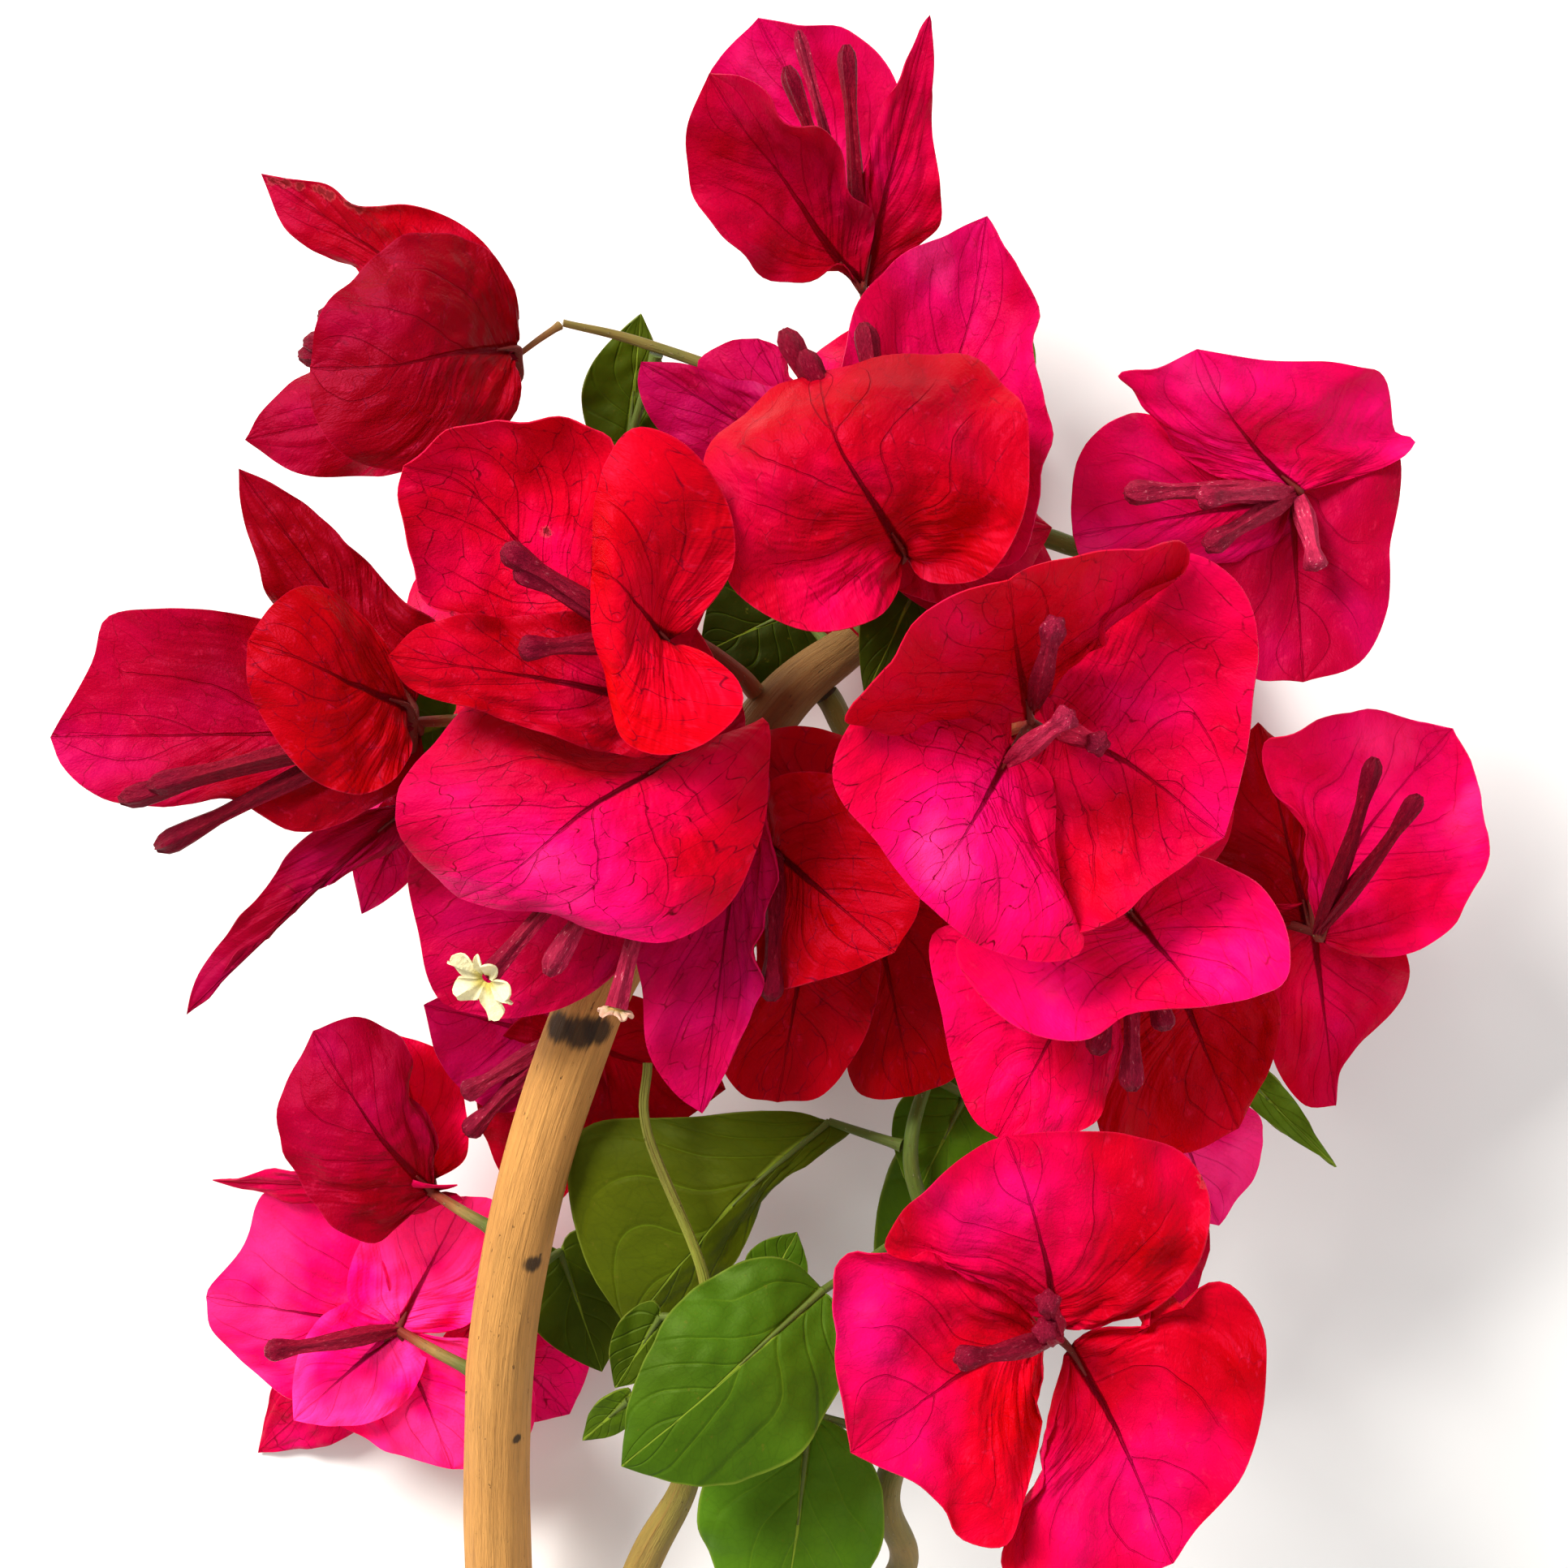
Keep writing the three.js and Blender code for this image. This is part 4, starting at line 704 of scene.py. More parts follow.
def blade_surface(shape, seed, rows, columns, puff, wave, veins):
    """Over a blade's grid: its puffed and waved places in mm, u, v, its own mm and its vein phase"""
    rng = random.Random(seed)
    u = np.linspace(0, 1, rows + 1)
    t = np.linspace(-1, 1, columns + 1)
    v = np.sign(t) * np.abs(t) ** EDGE_CROWDING
    middle, left, right = blade_lines(shape, u)
    across = left - right
    width = np.linalg.norm(across, axis=1)
    share = ((middle - right) * across).sum(1) / np.maximum(width**2, 1e-9)
    start, span = ROUND_SHARE
    roundness = np.clip((np.minimum(share, 1 - share) - start) / span, 0, 1)[:, None, None]
    middle, left, right = (line[:, None, :] for line in (middle, left, right))
    v_row, u_col = v[None, :, None], u[:, None]
    rounded = middle + v_row * (left - right) / 2 + v_row**2 * ((left + right) / 2 - middle)
    folded = middle + np.maximum(v_row, 0) * (left - middle) + np.maximum(-v_row, 0) * (right - middle)
    places = roundness * rounded + (1 - roundness) * folded

    length = np.linalg.norm(np.diff(places[:, columns // 2], axis=0), axis=1).sum()
    along_mm = u_col * length + 0 * v[None, :]
    across_mm = v[None, :] * width[:, None] / 2
    normals = unit(np.cross(np.gradient(places, axis=1), np.gradient(places, axis=0)))
    normals[0], normals[-1] = normals[1], normals[-2]
    if normals[..., 2].mean() < 0:
        normals = -normals
    side = np.abs(v)[None, :]
    phase = vein_phase(rng, u_col, v[None, :], along_mm, across_mm, veins)
    fade = np.sin(math.pi * np.clip(u_col, 0, 1)) ** 0.6
    pillow = np.abs(np.sin(math.pi * phase)) ** 0.7 - 0.5
    pillow = pillow * (0.75 + ripple(rng, along_mm, across_mm, *PILLOW_DRIFT))
    height, count, carried = WRINKLES
    drift = ripple(rng, along_mm, across_mm, *WRINKLE_DRIFT)
    pillow = pillow + height * np.abs(np.sin(count * side + carried * phase + drift))
    lift = puff * pillow * (4 * side * (1 - side**1.5)) * fade
    lift = lift - MIDRIB_DEPTH * np.exp(-(across_mm / MIDRIB_REACH) ** 2) * (1 - u_col)
    folds, start = rng.uniform(*FOLD_COUNTS), rng.uniform(0, math.tau)
    depth = shape.get("folds", 1) * min(1, length / FULL_RELIEF)
    lift = lift + depth * np.sin(math.tau * folds * v[None, :] + start) * side * (1 - u_col) * fade
    for sign in (-1, 1):
        turns, start = rng.uniform(*WAVE_COUNTS), rng.uniform(0, math.tau)
        small_turns, small_start = rng.uniform(*SMALL_WAVE_COUNTS), rng.uniform(0, math.tau)
        edge = (np.sign(v)[None, :] == sign) * side**3 * fade
        waves = (np.sin(math.tau * turns * u_col + start)
                 + SMALL_WAVES * np.sin(math.tau * small_turns * u_col + small_start))
        lift = lift + wave * min(1, length / FULL_RELIEF) * edge * waves
    lift = lift + ripple(rng, along_mm, across_mm, *EDGE_SWELL) * side * fade
    lift = lift + ripple(rng, along_mm, across_mm, *FINE_SWELL) * fade
    over_veins, along_veins = phase * CRUMPLE_SCALE[0], across_mm * CRUMPLE_SCALE[1]
    crumple = ripple(rng, over_veins, along_veins, CRUMPLE * depth, *CRUMPLE_WAVES)
    lift = lift + crumple * np.sqrt(side * (1 - u_col)) * fade
    places = places + normals * lift[..., None]
    places[0], places[-1] = middle[0], middle[-1]
    return places, u_col + 0 * v[None, :], v[None, :] + 0 * u_col, along_mm, across_mm, phase


def new_grid(name, rows, columns):
    """A new flat grid, with the row and the column of each of its points"""
    bpy.ops.object.select_all(action="DESELECT")
    bpy.ops.mesh.primitive_grid_add(x_subdivisions=columns, y_subdivisions=rows, size=2)
    piece = bpy.context.object
    piece.name = name
    flat = np.empty(len(piece.data.vertices) * 3)
    piece.data.vertices.foreach_get("co", flat)
    flat = flat.reshape(-1, 3)
    column = np.rint((flat[:, 0] + 1) / 2 * columns).astype(int)
    row = np.rint((flat[:, 1] + 1) / 2 * rows).astype(int)
    return piece, row, column


def place_points(piece, places):
    piece.data.vertices.foreach_set("co", (places * MM).ravel())
    piece.data.update()


def keep_values(piece, name, values):
    """Keeps a number or a vector at each point, for the materials to read"""
    values = np.asarray(values, np.float32)
    kind, field = ("FLOAT_VECTOR", "vector") if values.ndim == 2 else ("FLOAT", "value")
    piece.data.attributes.new(name, kind, "POINT").data.foreach_set(field, values.ravel())


def nearness(places, x, y, reach):
    """1 at a place as seen from above, and less the further away from it"""
    return np.exp(-((shown_at(places) - (x, y)) ** 2).sum(-1) / reach**2)


def make_blade(name, shape, puff, wave):
    """One bract or leaf as a single sheet, still without thickness"""
    rows, columns = PLAIN if shape.get("plain") else FINE
    options = settings()
    places, u, v, along_mm, across_mm, phase = blade_surface(
        shape, name, rows, columns, puff, wave, options.veins)
    piece, row, column = new_grid(name, rows, columns)
    place_points(piece, places[row, column])
    rng = random.Random(name)
    cloud = ripple(rng, along_mm, across_mm, *HUE_CLOUD)
    # hue and light are partly the blade's own tone and partly painted light and shade, pinker and lighter
    # where it is lit, redder and darker in shade
    first, last = shape["hue"]
    hue = first + (last - first) * u + 0.07 * cloud
    low, high = np.broadcast_to(shape["light"], 2)
    # lean paints one half lighter than the other, as painted light from one side
    light = low + (high - low) * u + shape.get("lean", 0) * v
    light = light * (1 + 0.05 * ripple(rng, along_mm, across_mm, *LIGHT_CLOUD))
    # each glow paints a highlight or a shade round a place, in hue and light
    for x, y, reach, painted_hue, painted_light in shape.get("glow", []):
        hue = hue + painted_hue * nearness(places, x, y, reach)
        light = light + painted_light * nearness(places, x, y, reach)
    scar = 0 * u
    for x, y, reach in shape.get("scars", []):
        scar = scar + nearness(places, x, y, reach)
    seed = rng.uniform(0, 500) + 0 * u
    net = shape.get("net", 1) + 0 * u
    keep_values(piece, "place", np.stack([u, v, net], -1)[row, column])
    keep_values(piece, "flat", np.stack([along_mm, across_mm, seed], -1)[row, column])
    keep_values(piece, "vein", phase[row, column])
    keep_values(piece, "hue", np.clip(hue, 0, 1)[row, column])
    keep_values(piece, "light", light[row, column])
    keep_values(piece, "scar", scar[row, column])
    return piece


def sweep(name, path, radii, sides, tint, relief=None):
    """A closed round limb through path. relief gives extra radius in mm from angle and mm along."""
    path, radii = np.asarray(path, float), np.asarray(radii, float)
    ahead = unit(np.gradient(path, axis=0))
    frame_side = np.empty_like(path)
    side = unit(np.cross(ahead[0], [0.31, 0.17, 0.93]))
    for k, heading in enumerate(ahead):
        side = unit(side - heading * np.dot(side, heading))
        frame_side[k] = side
    frame_up = np.cross(ahead, frame_side)
    along = run_along(path)
    angle = np.linspace(0, math.tau, sides + 1)
    size = radii[:, None] + (relief(angle[None, :], along[:, None]) if relief else 0 * angle[None, :])
    around = (np.cos(angle)[None, :, None] * frame_side[:, None]
              + np.sin(angle)[None, :, None] * frame_up[:, None])
    places = path[:, None] + around * size[..., None]
    ends = [path[k, None, None] + 0 * places[:1] for k in (0, -1)]
    places = np.concatenate([ends[0], places[:1], places, places[-1:], ends[1]])
    repeated = np.concatenate([[0, 0], np.arange(len(path)), [len(path) - 1] * 2])
    piece, row, column = new_grid(name, len(places) - 1, sides)
    place_points(piece, places[row, column])
    edge = np.ones(len(places))
    edge[0] = edge[-1] = 0
    ring = size[repeated] * edge[:, None]
    lengthwise = along[repeated][:, None] + 0 * ring
    section = np.stack([ring * np.cos(angle), ring * np.sin(angle), lengthwise], -1)
    share = along[repeated] / along[-1]
    keep_values(piece, "place", np.stack([share[:, None] + 0 * ring, ring, 0 * ring], -1)[row, column])
    keep_values(piece, "flat", section[row, column])
    keep_values(piece, "hue", (tint[0] + (tint[1] - tint[0]) * share)[row])
    keep_values(piece, "scar", (1 - edge)[row])
    return piece


def gather(pieces, name, thickness=None, crisp=60):
    """One finished piece from several: joined, closed at its poles, with its faces pointing out"""
    bpy.ops.object.select_all(action="DESELECT")
    for piece in pieces:
        piece.select_set(True)
    bpy.context.view_layer.objects.active = pieces[0]
    if len(pieces) > 1:
        bpy.ops.object.join()
    whole = bpy.context.object
    whole.name = name
    bpy.ops.object.mode_set(mode="EDIT")
    bpy.ops.mesh.select_all(action="SELECT")
    bpy.ops.mesh.remove_doubles(threshold=2e-6)
    bpy.ops.mesh.dissolve_degenerate(threshold=1e-6)
    bpy.ops.mesh.select_all(action="SELECT")
    bpy.ops.mesh.normals_make_consistent(inside=False)
    bpy.ops.object.mode_set(mode="OBJECT")
    if thickness:
        wall = whole.modifiers.new("wall", "SOLIDIFY")
        wall.thickness = thickness
        wall.offset = 0
        bpy.ops.object.modifier_apply(modifier="wall")
    bpy.ops.object.shade_smooth_by_angle(angle=math.radians(crisp))
    return whole


def limb_of(points, radii):
    return {"points": np.asarray(points, float), "radii": radii}


def limb_at(limb, shares):
    """Places and radii of a limb at shares of its count of points"""
    shares = np.asarray(shares, float)
    places = limb_curve(limb["points"], shares)
    radii = np.interp(shares, np.linspace(0, 1, len(limb["radii"])), limb["radii"])
    return places, radii


def foot_on(carrier, reach, at=None):
    """Where something that leads to a place starts on its carrier, just clear of the bark"""
    shares = np.linspace(0, 1, SEARCH_STEPS + 1)
    places, radii = limb_at(carrier, shares)
    if at is None:
        at = shares[np.argmin(np.linalg.norm(places - reach, axis=1) - radii)]
    (axis,), (radius,) = limb_at(carrier, [at])
    away = unit(reach - axis)
    facing = 1
    if at == 1:
        heading = unit(places[-1] - places[-2])
        facing = math.sin(math.acos(np.clip(np.dot(heading, away), -1, 1)))
    return axis + away * (radius * facing + CLEARANCE)


LIMBS = {}
for stem_name, stem in STEMS.items():
    stem_points = [seen(point) for point in stem["points"]]
    if "carrier" in stem:
        stem_points.insert(0, foot_on(LIMBS[stem["carrier"]], stem_points[0]))
    LIMBS[stem_name] = limb_of(stem_points, stem["radii"])


def bark_relief(name, depth):
    """Fine lengthwise fibres and a few knots, as extra radius in mm"""
    rng = random.Random(name)
    fibres = [(rng.randint(5, 19), rng.uniform(0, math.tau), rng.uniform(0.02, 0.1)) for _ in range(9)]
    knots = [(rng.uniform(10, 190), rng.uniform(0, math.tau), rng.uniform(0.3, 0.7)) for _ in range(7)]

    def relief(angle, along):
        total = 0
        for count, start, drift in fibres:
            total = total + np.sin(count * angle + start + np.sin(along * drift) * 1.3) / 6
        total = total + 0.5 * np.sin(along / 7 + 2 * np.sin(angle + along / 23))
        for place, start, height in knots:
            swing = 1 - np.cos(angle - start)
            total = total + height / depth * np.exp(-((along - place) / 2.2) ** 2 - swing * 5)
        return depth * total
    return relief


def stalk_between(name, foot, end, radius, bow, tint):
    """A slim stalk with a slight bow and a swollen foot"""
    shares = np.linspace(0, 1, STALK_RINGS + 1)
    middle = (foot + end) / 2 + np.array([0, 0, bow])
    path = limb_curve([foot, middle, end], shares)
    swelling, reach = STALK_FOOT
    radii = radius * (1 - (1 - STALK_TAPER) * shares) * (1 + swelling * np.exp(-(shares / reach) ** 2))
    return sweep(name, path, radii, STALK_SIDES, tint)


class Wire:
    """A number or colour in a material, which plain sums join to Math nodes"""

    def __init__(self, paint, socket):
        self.paint, self.socket = paint, socket

    def sum(self, operation, *values):
        return self.paint.add("ShaderNodeMath", {"operation": operation}, dict(enumerate(values)))

    def __add__(self, other):
        return self.sum("ADD", self, other)

    def __radd__(self, other):
        return self.sum("ADD", other, self)

    def __sub__(self, other):
        return self.sum("SUBTRACT", self, other)

    def __rsub__(self, other):
        return self.sum("SUBTRACT", other, self)

    def __mul__(self, other):
        return self.sum("MULTIPLY", self, other)

    def __truediv__(self, other):
        return self.sum("DIVIDE", self, other)

    def __abs__(self):
        return self.sum("ABSOLUTE", self)

    def __gt__(self, other):
        return self.sum("GREATER_THAN", self, other)


class Paint:
    """A material, with one method that adds any node to it"""

    def __init__(self, name):
        self.material = bpy.data.materials.new(name)
        self.material.use_nodes = True
        self.tree = self.material.node_tree
        self.tree.nodes.clear()

    def add(self, kind, choices=None, inputs=None, output=0):
        node = self.tree.nodes.new(kind)
        for name, value in (choices or {}).items():
            if name == "stops":
                self.set_stops(node.color_ramp, value)
            else:
                setattr(node, name, value)
        for name, value in (inputs or {}).items():
            if isinstance(value, Wire):
                self.tree.links.new(value.socket, node.inputs[name])
            else:
                node.inputs[name].default_value = value
        return Wire(self, node.outputs[output])

    def set_stops(self, ramp, stops):
        for _ in stops[2:]:
            ramp.elements.new(0.5)
        for element, (place, colour) in zip(ramp.elements, stops):
            element.position = place
            element.color = (*colour, 1)

    def kept(self, name, output=2):
        return self.add("ShaderNodeAttribute", {"attribute_name": name}, output=output)

    def parts(self, vector):
        node = self.add("ShaderNodeSeparateXYZ", inputs={0: vector}).socket.node
        return [Wire(self, socket) for socket in node.outputs]

    def stretched(self, vector, factors):
        return self.add("ShaderNodeVectorMath", {"operation": "MULTIPLY"}, {0: vector, 1: factors})

    def noise(self, vector, scale, detail=3, roughness=0.5, space="3D"):
        return self.add("ShaderNodeTexNoise", {"noise_dimensions": space}, {
            "Vector": vector, "Scale": scale, "Detail": detail, "Roughness": roughness})

    def net(self, vector, scale, width, core):
        """1 on the lines between flat cells, and 0 away from them"""
        cells = {"feature": "DISTANCE_TO_EDGE", "voronoi_dimensions": "2D"}
        off = self.add("ShaderNodeTexVoronoi", cells, {"Vector": vector, "Scale": scale})
        return self.step(off, width, core)

    def sheet(self):
        """The place on a blade in mm, shifted for each blade, and its two parts and shift"""
        along, across, seed = self.parts(self.kept("flat", 1))
        along = along + seed
        return self.flat_place(along, across), along, across, seed

    def flat_place(self, x, y):
        return self.add("ShaderNodeCombineXYZ", {}, {0: x, 1: y})

    def step(self, value, low, high):
        """0 below low and 1 above high, with a smooth rise between them, or the reverse"""
        return self.add("ShaderNodeMapRange", {"interpolation_type": "SMOOTHSTEP"}, {
            "Value": value, "From Min": min(low, high), "From Max": max(low, high),
            "To Min": float(low > high), "To Max": float(low < high)})

    def mix(self, factor, first, second):
        first, second = ((*c, 1) if isinstance(c, tuple) else c for c in (first, second))
        inputs = {0: factor, 6: first, 7: second}
        return self.add("ShaderNodeMix", {"data_type": "RGBA"}, inputs, output=2)

    def dimmed(self, colour, light):
        """A colour times a number"""
        return self.add("ShaderNodeVectorMath", {"operation": "SCALE"}, {0: colour, "Scale": light})

    def bump(self, height, distance):
        return self.add("ShaderNodeBump", inputs={"Height": height, "Distance": distance, "Strength": 1})

    def finish(self, colour, roughness, normal, specular, gloss=(1, 1, 1), through=None, share=0):
        """The material with its surface, and light of the colour through for share of it"""
        surface = self.add("ShaderNodeBsdfPrincipled", inputs={
            "Base Color": colour, "Roughness": roughness, "Normal": normal,
            "Specular IOR Level": specular, "Specular Tint": (*gloss, 1)})
        if through:
            glow = self.add("ShaderNodeBsdfTranslucent", inputs={"Color": (*through, 1)})
            surface = self.add("ShaderNodeMixShader", inputs={0: share, 1: surface, 2: glow})
        output = self.tree.nodes.new("ShaderNodeOutputMaterial")
        self.tree.links.new(surface.socket, output.inputs["Surface"])
        return self.material


# Noises, as (scale per mm, detail, roughness)
BRACT_WOBBLE = (0.28, 1, 0.5)
BRACT_CLOUD = (0.09, 2, 0.5)
BRACT_GRAIN = (2.4, 1, 0.7)
BRACT_PATCHES = (0.5, 3, 0.75)
CREASES = (1, 2, 0.5)
CREASE_SCALE = (2.6, 0.14)       # across and along the side veins
LEAF_WOBBLE = (0.16, 1, 0.5)
LEAF_CLOUD = (0.12, 3, 0.5)
LEAF_GRAIN = (1.6, 2, 0.65)
LEAF_SPOTS = (0.7, 3, 0.7)
TUBE_HAIRS = (2.6, 3, 0.7)
TUBE_CLOUD = (0.35, 3, 0.5)
STAR_GRAIN = (1.2, 4, 0.6)
BARK_FIBRES = (1.5, 5, 0.7)
BARK_THREADS = (3.4, 3, 0.6)
BARK_CLOUD = (0.07, 3, 0.5)
BARK_STREAKS = (1, 2, 0.5)
BARK_SPECKS = (1.3, 4, 0.7)
TWIG_FIBRES = (2.2, 4, 0.65)
TWIG_CLOUD = (0.09, 3, 0.5)
TWIG_SPECKS = (2, 3, 0.6)

# Nets of fine veins, as (cells per mm, half width of a line in cells, and of its core)
NET = (0.26, 0.03, 0.004)
FINE_NET = (0.75, 0.06, 0.01)
LEAF_NET = (0.6, 0.1, 0.0)
NET_BEND = 3
SIDE_VEIN = (0.022, 0.006)
MIDRIB_WIDTH = (0.72, 0.13)      # more at the base, and at the tip, in mm

# Colours
BRACT_HUES = [(0, (0.6, 0.0003, 0.001)), (0.35, (0.63, 0.0003, 0.016)), (0.6, (0.74, 0.0005, 0.065)),
              (0.85, (0.84, 0.003, 0.16)), (1, (0.92, 0.028, 0.24))]
BRACT_GLOSS = (1, 0.06, 0.3)     # the tint of the soft highlights
# pale pink of the painted highlight patches
BRACT_HIGHLIGHT_PATCH = (0.95, 0.03, 0.13)
BRACT_EDGE = (0.9, 0.03, 0.16)
SCAR_RIM = (0.8, 0.2, 0.2)
SCAR_CORE = (0.09, 0.008, 0.008)
CRIMSON_THROUGH = (0.9, 0.001, 0.012)
PINK_THROUGH = (1, 0.003, 0.14)
INNER_THROUGH = (0.95, 0.002, 0.06)
LEAF_OLIVE = (0.1, 0.1, 0.001)
LEAF_VEIN = (0.17, 0.28, 0.01)
LEAF_MIDRIB = (0.28, 0.38, 0.03)
LEAF_EDGE = (0.3, 0.36, 0.04)
LEAF_SPOT = (0.14, 0.12, 0.01)
LEAF_GLOSS = (0.75, 1, 0.3)
LEAF_THROUGH = (0.14, 0.3, 0.003)
TUBE_DARK = (0.15, 0.0003, 0.006)
TUBE_PALE = ((0.3, 0.003, 0.03), (0.6, 0.04, 0.11))
TUBE_HEAD = (0.12, 0.0005, 0.012)
TUBE_HAIR = (0.8, 0.3, 0.35)
TUBE_GLOSS = (1, 0.15, 0.3)
STAR_PALE = ((0.62, 0.5, 0.1), (0.92, 0.84, 0.5))
STAR_PINK = ((0.22, 0.002, 0.02), (0.72, 0.08, 0.16))
STAR_THROUGH = (0.8, 0.68, 0.35)
BARK_HUES = [(0.28, (0.6, 0.28, 0.075)), (0.5, (0.34, 0.2, 0.055)), (0.75, (0.22, 0.22, 0.03)),
             (1, (0.32, 0.36, 0.04))]
BARK_THREAD = (0.3, 0.13, 0.035)
BARK_STREAK = (0.33, 0.15, 0.04)
BARK_SPECK = (0.09, 0.04, 0.015)
# painted shade towards the top end of a woody limb
BARK_TOP_SHADE = (0.09, 0.05, 0.02)
BARK_SCAR = (0.03, 0.017, 0.012)
CUT_WOOD = ((0.7, 0.52, 0.28), (0.5, 0.32, 0.13))
CUT_RINGS = 9.0                  # growth rings, in radians per mm
TWIG_HUES = [(0, (0.12, 0.002, 0.006)), (0.3, (0.22, 0.035, 0.015)), (0.5, (0.26, 0.15, 0.04)),
             (0.75, (0.1, 0.11, 0.02)), (1, (0.075, 0.13, 0.014))]
TWIG_SPECK = (0.4, 0.33, 0.17)
BARK_GLOSS = (1, 0.9, 0.7)


def vein_lines(paint, wobble):
    """Masks of the midrib and of the side veins, from what is kept at each point"""
    u, v, _ = paint.parts(paint.kept("place", 1))
    _, across, _ = paint.parts(paint.kept("flat", 1))
    side = abs(v)
    phase = paint.kept("vein") + wobble * 0.12
    off = abs(paint.add("ShaderNodeMath", {"operation": "FRACT"}, {0: phase + 20.5}) - 0.5)
    lateral = paint.step(off, *SIDE_VEIN) * paint.step(side, 0.9, 0.45)
    more, least = MIDRIB_WIDTH
    width = paint.step(u, 0.75, 0.0) * more + least
    midrib = paint.step(abs(across + wobble * 0.25) / width, 1.25, 0.6)
    return u, side, off, lateral, midrib


def bract_material(name, through):
    """Papery, with its side veins, a net of fine ones, patches of painted highlight, creases with painted
    shade, and dark scars
    """
    paint = Paint(name)
    sheet, along, across, seed = paint.sheet()
    wobble = paint.noise(sheet, *BRACT_WOBBLE, "2D") - 0.5
    cloud = paint.noise(sheet, *BRACT_CLOUD, "2D")
    grain = paint.noise(sheet, *BRACT_GRAIN, "2D")
    patches = paint.noise(sheet, *BRACT_PATCHES, "2D")
    u, side, _, lateral, midrib = vein_lines(paint, wobble)
    hue = paint.kept("hue") + (cloud - 0.5) * 0.6
    colour = paint.add("ShaderNodeValToRGB", {"stops": BRACT_HUES}, {0: hue})
    bent = paint.flat_place(along + wobble * NET_BEND, across - wobble * NET_BEND)
    net, fine_net = paint.net(bent, *NET), paint.net(bent, *FINE_NET)
    shown = paint.step(patches, 0.42, 0.62)
    over_veins, along_veins = CREASE_SCALE
    creased = paint.flat_place(paint.kept("vein") * over_veins + seed, across * along_veins)
    creases = (paint.noise(creased, *CREASES, "2D") - 0.5) * paint.step(u, 0.9, 0.4)
    # the light kept at each point is partly painted light and shade, and the creases paint bands of shade
    # and light along the side veins
    light = paint.kept("light") * (0.82 + cloud * 0.34 + creases * 0.24) * (0.94 + grain * 0.12)
    colour = paint.dimmed(colour, light)
    # painted highlight: pale pink patches
    colour = paint.mix(paint.step(patches, 0.6, 0.78) * 0.2, colour, BRACT_HIGHLIGHT_PATCH)
    colour = paint.mix(paint.step(side, 0.985, 1.0) * 0.12, colour, BRACT_EDGE)
    vein = tuple(settings().vein_colour)
    _, _, strength = paint.parts(paint.kept("place", 1))
    colour = paint.mix(fine_net * shown * strength * 0.22, colour, vein)
    colour = paint.mix(net * strength * (0.3 + shown * 0.6), colour, vein)
    colour = paint.mix(lateral * (strength * 0.8 + 0.2) * (0.14 + shown * 0.36), colour, vein)
    dark_vein = tuple(channel * 0.4 for channel in vein)
    colour = paint.mix(midrib * paint.step(u, 1.1, 0.2), colour, dark_vein)
    near_scar = paint.kept("scar")
    ragged = (grain - 0.5) * 0.6 + (patches - 0.5) * 0.9
    scar = near_scar + ragged * paint.step(near_scar, 0.02, 0.3)
    colour = paint.mix(paint.step(scar, 0.3, 0.5) * 0.16, colour, SCAR_RIM)
    colour = paint.mix(paint.step(scar, 0.5, 0.72) * 0.85, colour, SCAR_CORE)
    height = lateral * -0.5 + grain * 0.18 + wobble * 1.2 + creases * 1.9 - midrib * 0.9
    return paint.finish(colour, 0.42 + cloud * 0.16, paint.bump(height, 0.0005), 0.27, BRACT_GLOSS,
                        through, 0.3)


def leaf_material():
    """Green, with paler veins and edge, a net of fine veins and a few brown spots"""
    paint = Paint("leaf_blade")
    sheet, _, _, _ = paint.sheet()
    wobble = paint.noise(sheet, *LEAF_WOBBLE, "2D") - 0.5
    _, side, off, lateral, midrib = vein_lines(paint, wobble)
    colour = paint.mix(paint.kept("hue"), LEAF_OLIVE, tuple(settings().leaf_colour))
    cloud = paint.noise(sheet, *LEAF_CLOUD, "2D")
    grain = paint.noise(sheet, *LEAF_GRAIN, "2D")
    net = paint.net(sheet, *LEAF_NET)
    light = paint.kept("light") * (0.62 + cloud * 0.44) * (0.92 + grain * 0.16) * (1 - net * 0.1)
    colour = paint.dimmed(colour, light)
    colour = paint.mix(lateral * 0.3, colour, LEAF_VEIN)
    colour = paint.mix(midrib * 0.7, colour, LEAF_MIDRIB)
    colour = paint.mix(paint.step(side, 0.965, 0.995) * 0.35, colour, LEAF_EDGE)
    spots = paint.step(paint.noise(sheet, *LEAF_SPOTS, "2D"), 0.68, 0.76)
    colour = paint.mix(spots * 0.4, colour, LEAF_SPOT)
    height = paint.step(off, 0.0, 0.12) * 0.5 + midrib * -0.8 + grain * 0.2
    return paint.finish(colour, 0.42 + cloud * 0.16, paint.bump(height, 0.00024), 0.2, LEAF_GLOSS,
                        LEAF_THROUGH, 0.22)


def tube_material():
    """Dark red to pale pink, with fine hairs along it and a darker head"""
    paint = Paint("flower_tube")
    flat = paint.kept("flat", 1)
    u, _, _ = paint.parts(paint.kept("place", 1))
    hairs = paint.noise(paint.stretched(flat, (1, 1, 0.3)), *TUBE_HAIRS)
    pale = paint.mix(paint.noise(flat, *TUBE_CLOUD), *TUBE_PALE)
    colour = paint.mix(paint.kept("hue"), TUBE_DARK, pale)
    head = paint.step(u, 0.78, 0.9)
    colour = paint.mix(head * (0.6 - paint.kept("hue") * 0.3), colour, TUBE_HEAD)
    colour = paint.dimmed(colour, 0.2 + hairs * 1.6)
    colour = paint.mix(paint.step(hairs, 0.62, 0.72) * paint.kept("hue"), colour, TUBE_HAIR)
    return paint.finish(colour, 0.42 + hairs * 0.2, paint.bump(hairs, 0.0004), 0.22, TUBE_GLOSS)


